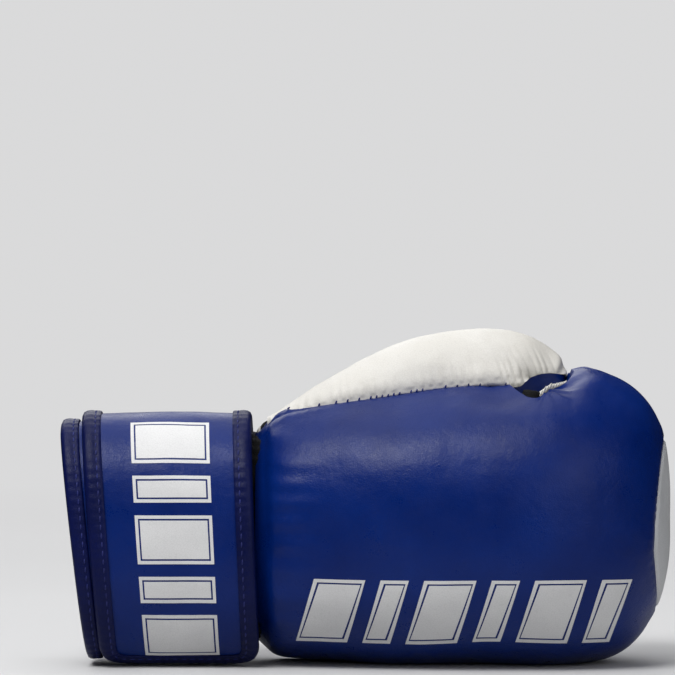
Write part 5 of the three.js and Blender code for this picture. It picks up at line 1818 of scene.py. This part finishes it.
# ------------------------------------------------------------------ CAD pieces that stay
# Soft pieces inside the hand opening: a finer mesh with an uneven surface.
KEPT = {"back_liner": LINING, "palm_liner": LINING, "curl_liner": LINING, "grip_bar": FOAM}
for name, material in KEPT.items():
    kept = bpy.data.objects.get(name)
    if kept is None:  # guards against a CAD file without this piece
        continue
    for slot in kept.material_slots:
        slot.material = material
    finer = kept.modifiers.new("finer", "SUBSURF")
    finer.subdivision_type = "SIMPLE"
    finer.levels = finer.render_levels = 3
    clouds = bpy.data.textures.new(name + "_rumple", "CLOUDS")
    clouds.noise_scale = 0.011
    clouds.noise_depth = 2
    rumple = kept.modifiers.new("rumple", "DISPLACE")
    rumple.texture = clouds
    rumple.texture_coords = "LOCAL"
    rumple.strength = 0.0009
    rumple.mid_level = 0.5


# ------------------------------------------------------------------ floor (metres from here on)
def backdrop_material():
    """Pale matt floor that fades, for the camera only, to an even pale grey far away."""
    shader = Shader("plain_backdrop")
    drift = shader.noise(3.0, 2.0)
    rays = shader.node("LightPath").outputs
    pale = shader.mix(shader.remap(drift, (0.3, 0.7)), (0.66, 0.66, 0.665), (0.68, 0.68, 0.685))
    # to every ray but the camera's the floor is a darker grey: a dimmed copy that bounces less
    # light, painting shade on the glove's underside
    pale_or_dim_bounce = shader.mix(rays["Is Camera Ray"], (0.46, 0.46, 0.465), pale)

    def distance():
        node = shader.node("VectorMath", {0: shader.coord}, operation="LENGTH")
        return node.outputs["Value"]

    # reflections see a floor that darkens away from the glove
    mirrored = shader.mix(shader.remap(distance(), (0.15, 0.6)),
                          (0.55, 0.55, 0.555), (0.04, 0.04, 0.041))
    shader.feed(shader.bsdf, {
        "Base Color": shader.mix(rays["Is Glossy Ray"], pale_or_dim_bounce, mirrored),
        "Roughness": 0.9, "Specular IOR Level": 0.1})
    glow = shader.node("Emission", {"Color": (0.70, 0.70, 0.705), "Strength": 1.0})
    share = shader.math("MULTIPLY", shader.remap(distance(), (0.35, 1.5)),
                        rays["Is Camera Ray"])
    both = shader.node("MixShader", {0: share, 1: shader.bsdf.outputs[0], 2: glow.outputs[0]})
    shader.put(shader.output.inputs[0], both.outputs[0])
    return shader.material


# A round floor whose rim curves up out of sight, so every side looks alike: radius, height.
FLOOR_PROFILE = [(r, 0.0) for r in (0.02, 0.15, 0.35, 0.7, 1.2, 2.0, 3.0)]
FLOOR_PROFILE += [(3.6 + 1.2 * math.sin(angle), 1.2 - 1.2 * math.cos(angle))
                  for angle in np.linspace(0, math.pi / 2, 24)]
FLOOR_PROFILE += [(4.8, 2.4), (4.8, 3.4)]
FLOOR_SIDES = 96
floor_verts, floor_faces = [(0, 0, 0)], []
for k, (radius, z) in enumerate(FLOOR_PROFILE):
    inner_ring, outer_ring = 1 + (k - 1) * FLOOR_SIDES, 1 + k * FLOOR_SIDES
    for j in range(FLOOR_SIDES):
        angle = 2 * math.pi * j / FLOOR_SIDES
        floor_verts.append((radius * math.cos(angle), radius * math.sin(angle), z))
        i = (j + 1) % FLOOR_SIDES
        if k == 0:
            floor_faces.append((0, 1 + j, 1 + i))
        else:
            floor_faces.append((inner_ring + j, outer_ring + j, outer_ring + i, inner_ring + i))
floor_mesh = bpy.data.meshes.new("floor_and_backdrop")
floor_mesh.from_pydata(floor_verts, [], floor_faces)
floor_mesh.polygons.foreach_set("use_smooth", [True] * len(floor_mesh.polygons))
floor_mesh.materials.append(backdrop_material())
stage = bpy.data.objects.new("floor_and_backdrop", floor_mesh)
stage.location.z = -0.0005
bpy.context.scene.collection.objects.link(stage)

# ------------------------------------------------------------------ lights, world, camera
scene = bpy.context.scene


def place(name, data, location, target):
    """Puts a light or camera in the scene, facing the target."""
    thing = bpy.data.objects.new(name, data)
    scene.collection.objects.link(thing)
    thing.location = location
    heading = Vector(target) - Vector(location)
    thing.rotation_euler = heading.to_track_quat("-Z", "Y").to_euler()
    return thing


for name, location, aim_z, width, height, watts in (
        ("key", (-0.60, -0.98, 1.66), 0.07, 1.0, 0.8, 27),
        ("fill", (1.0, -1.5, 0.75), 0.07, 1.3, 1.1, 6.5),
        ("top", (-0.2, 0.25, 1.6), 0.05, 1.4, 1.2, 8.5),
        ("behind", (-0.3, 1.4, 1.0), 0.07, 1.2, 1.0, 7)):
    light = bpy.data.lights.new(name, "AREA")
    light.shape = "RECTANGLE"
    light.size, light.size_y = width, height
    light.energy = watts
    place(name, light, location, (0, 0, aim_z))

scene.view_settings.view_transform = "Standard"
scene.view_settings.look = "None"
world = bpy.data.worlds.new("studio")
scene.world = world
world.use_nodes = True
nodes, links = world.node_tree.nodes, world.node_tree.links
background = nodes.get("Background")
background.inputs["Color"].default_value = (0.92, 0.93, 0.95, 1)
rays = nodes.new("ShaderNodeLightPath")
strength = nodes.new("ShaderNodeMapRange")
# to min and to max: ordinary rays, then the dimmer world in reflections
strength.inputs[3].default_value, strength.inputs[4].default_value = 0.3, 0.05
links.new(rays.outputs["Is Glossy Ray"], strength.inputs[0])
links.new(strength.outputs[0], background.inputs["Strength"])

CAMERA_DISTANCE, CAMERA_RISE = 2.3, math.radians(1.5)
VIEW_WIDTH = 0.3152  # at the distance of the aim
aim = Vector(((130.5 - OPEN_END) / 1000, -0.03, 0.1548))
camera = bpy.data.cameras.new("camera")
camera.sensor_width = 36.0
camera.lens = 36.0 * CAMERA_DISTANCE / VIEW_WIDTH
camera.clip_end = 20
heading = Vector((0, -math.cos(CAMERA_RISE), math.sin(CAMERA_RISE)))
scene.camera = place("camera", camera, aim + heading * CAMERA_DISTANCE, aim)

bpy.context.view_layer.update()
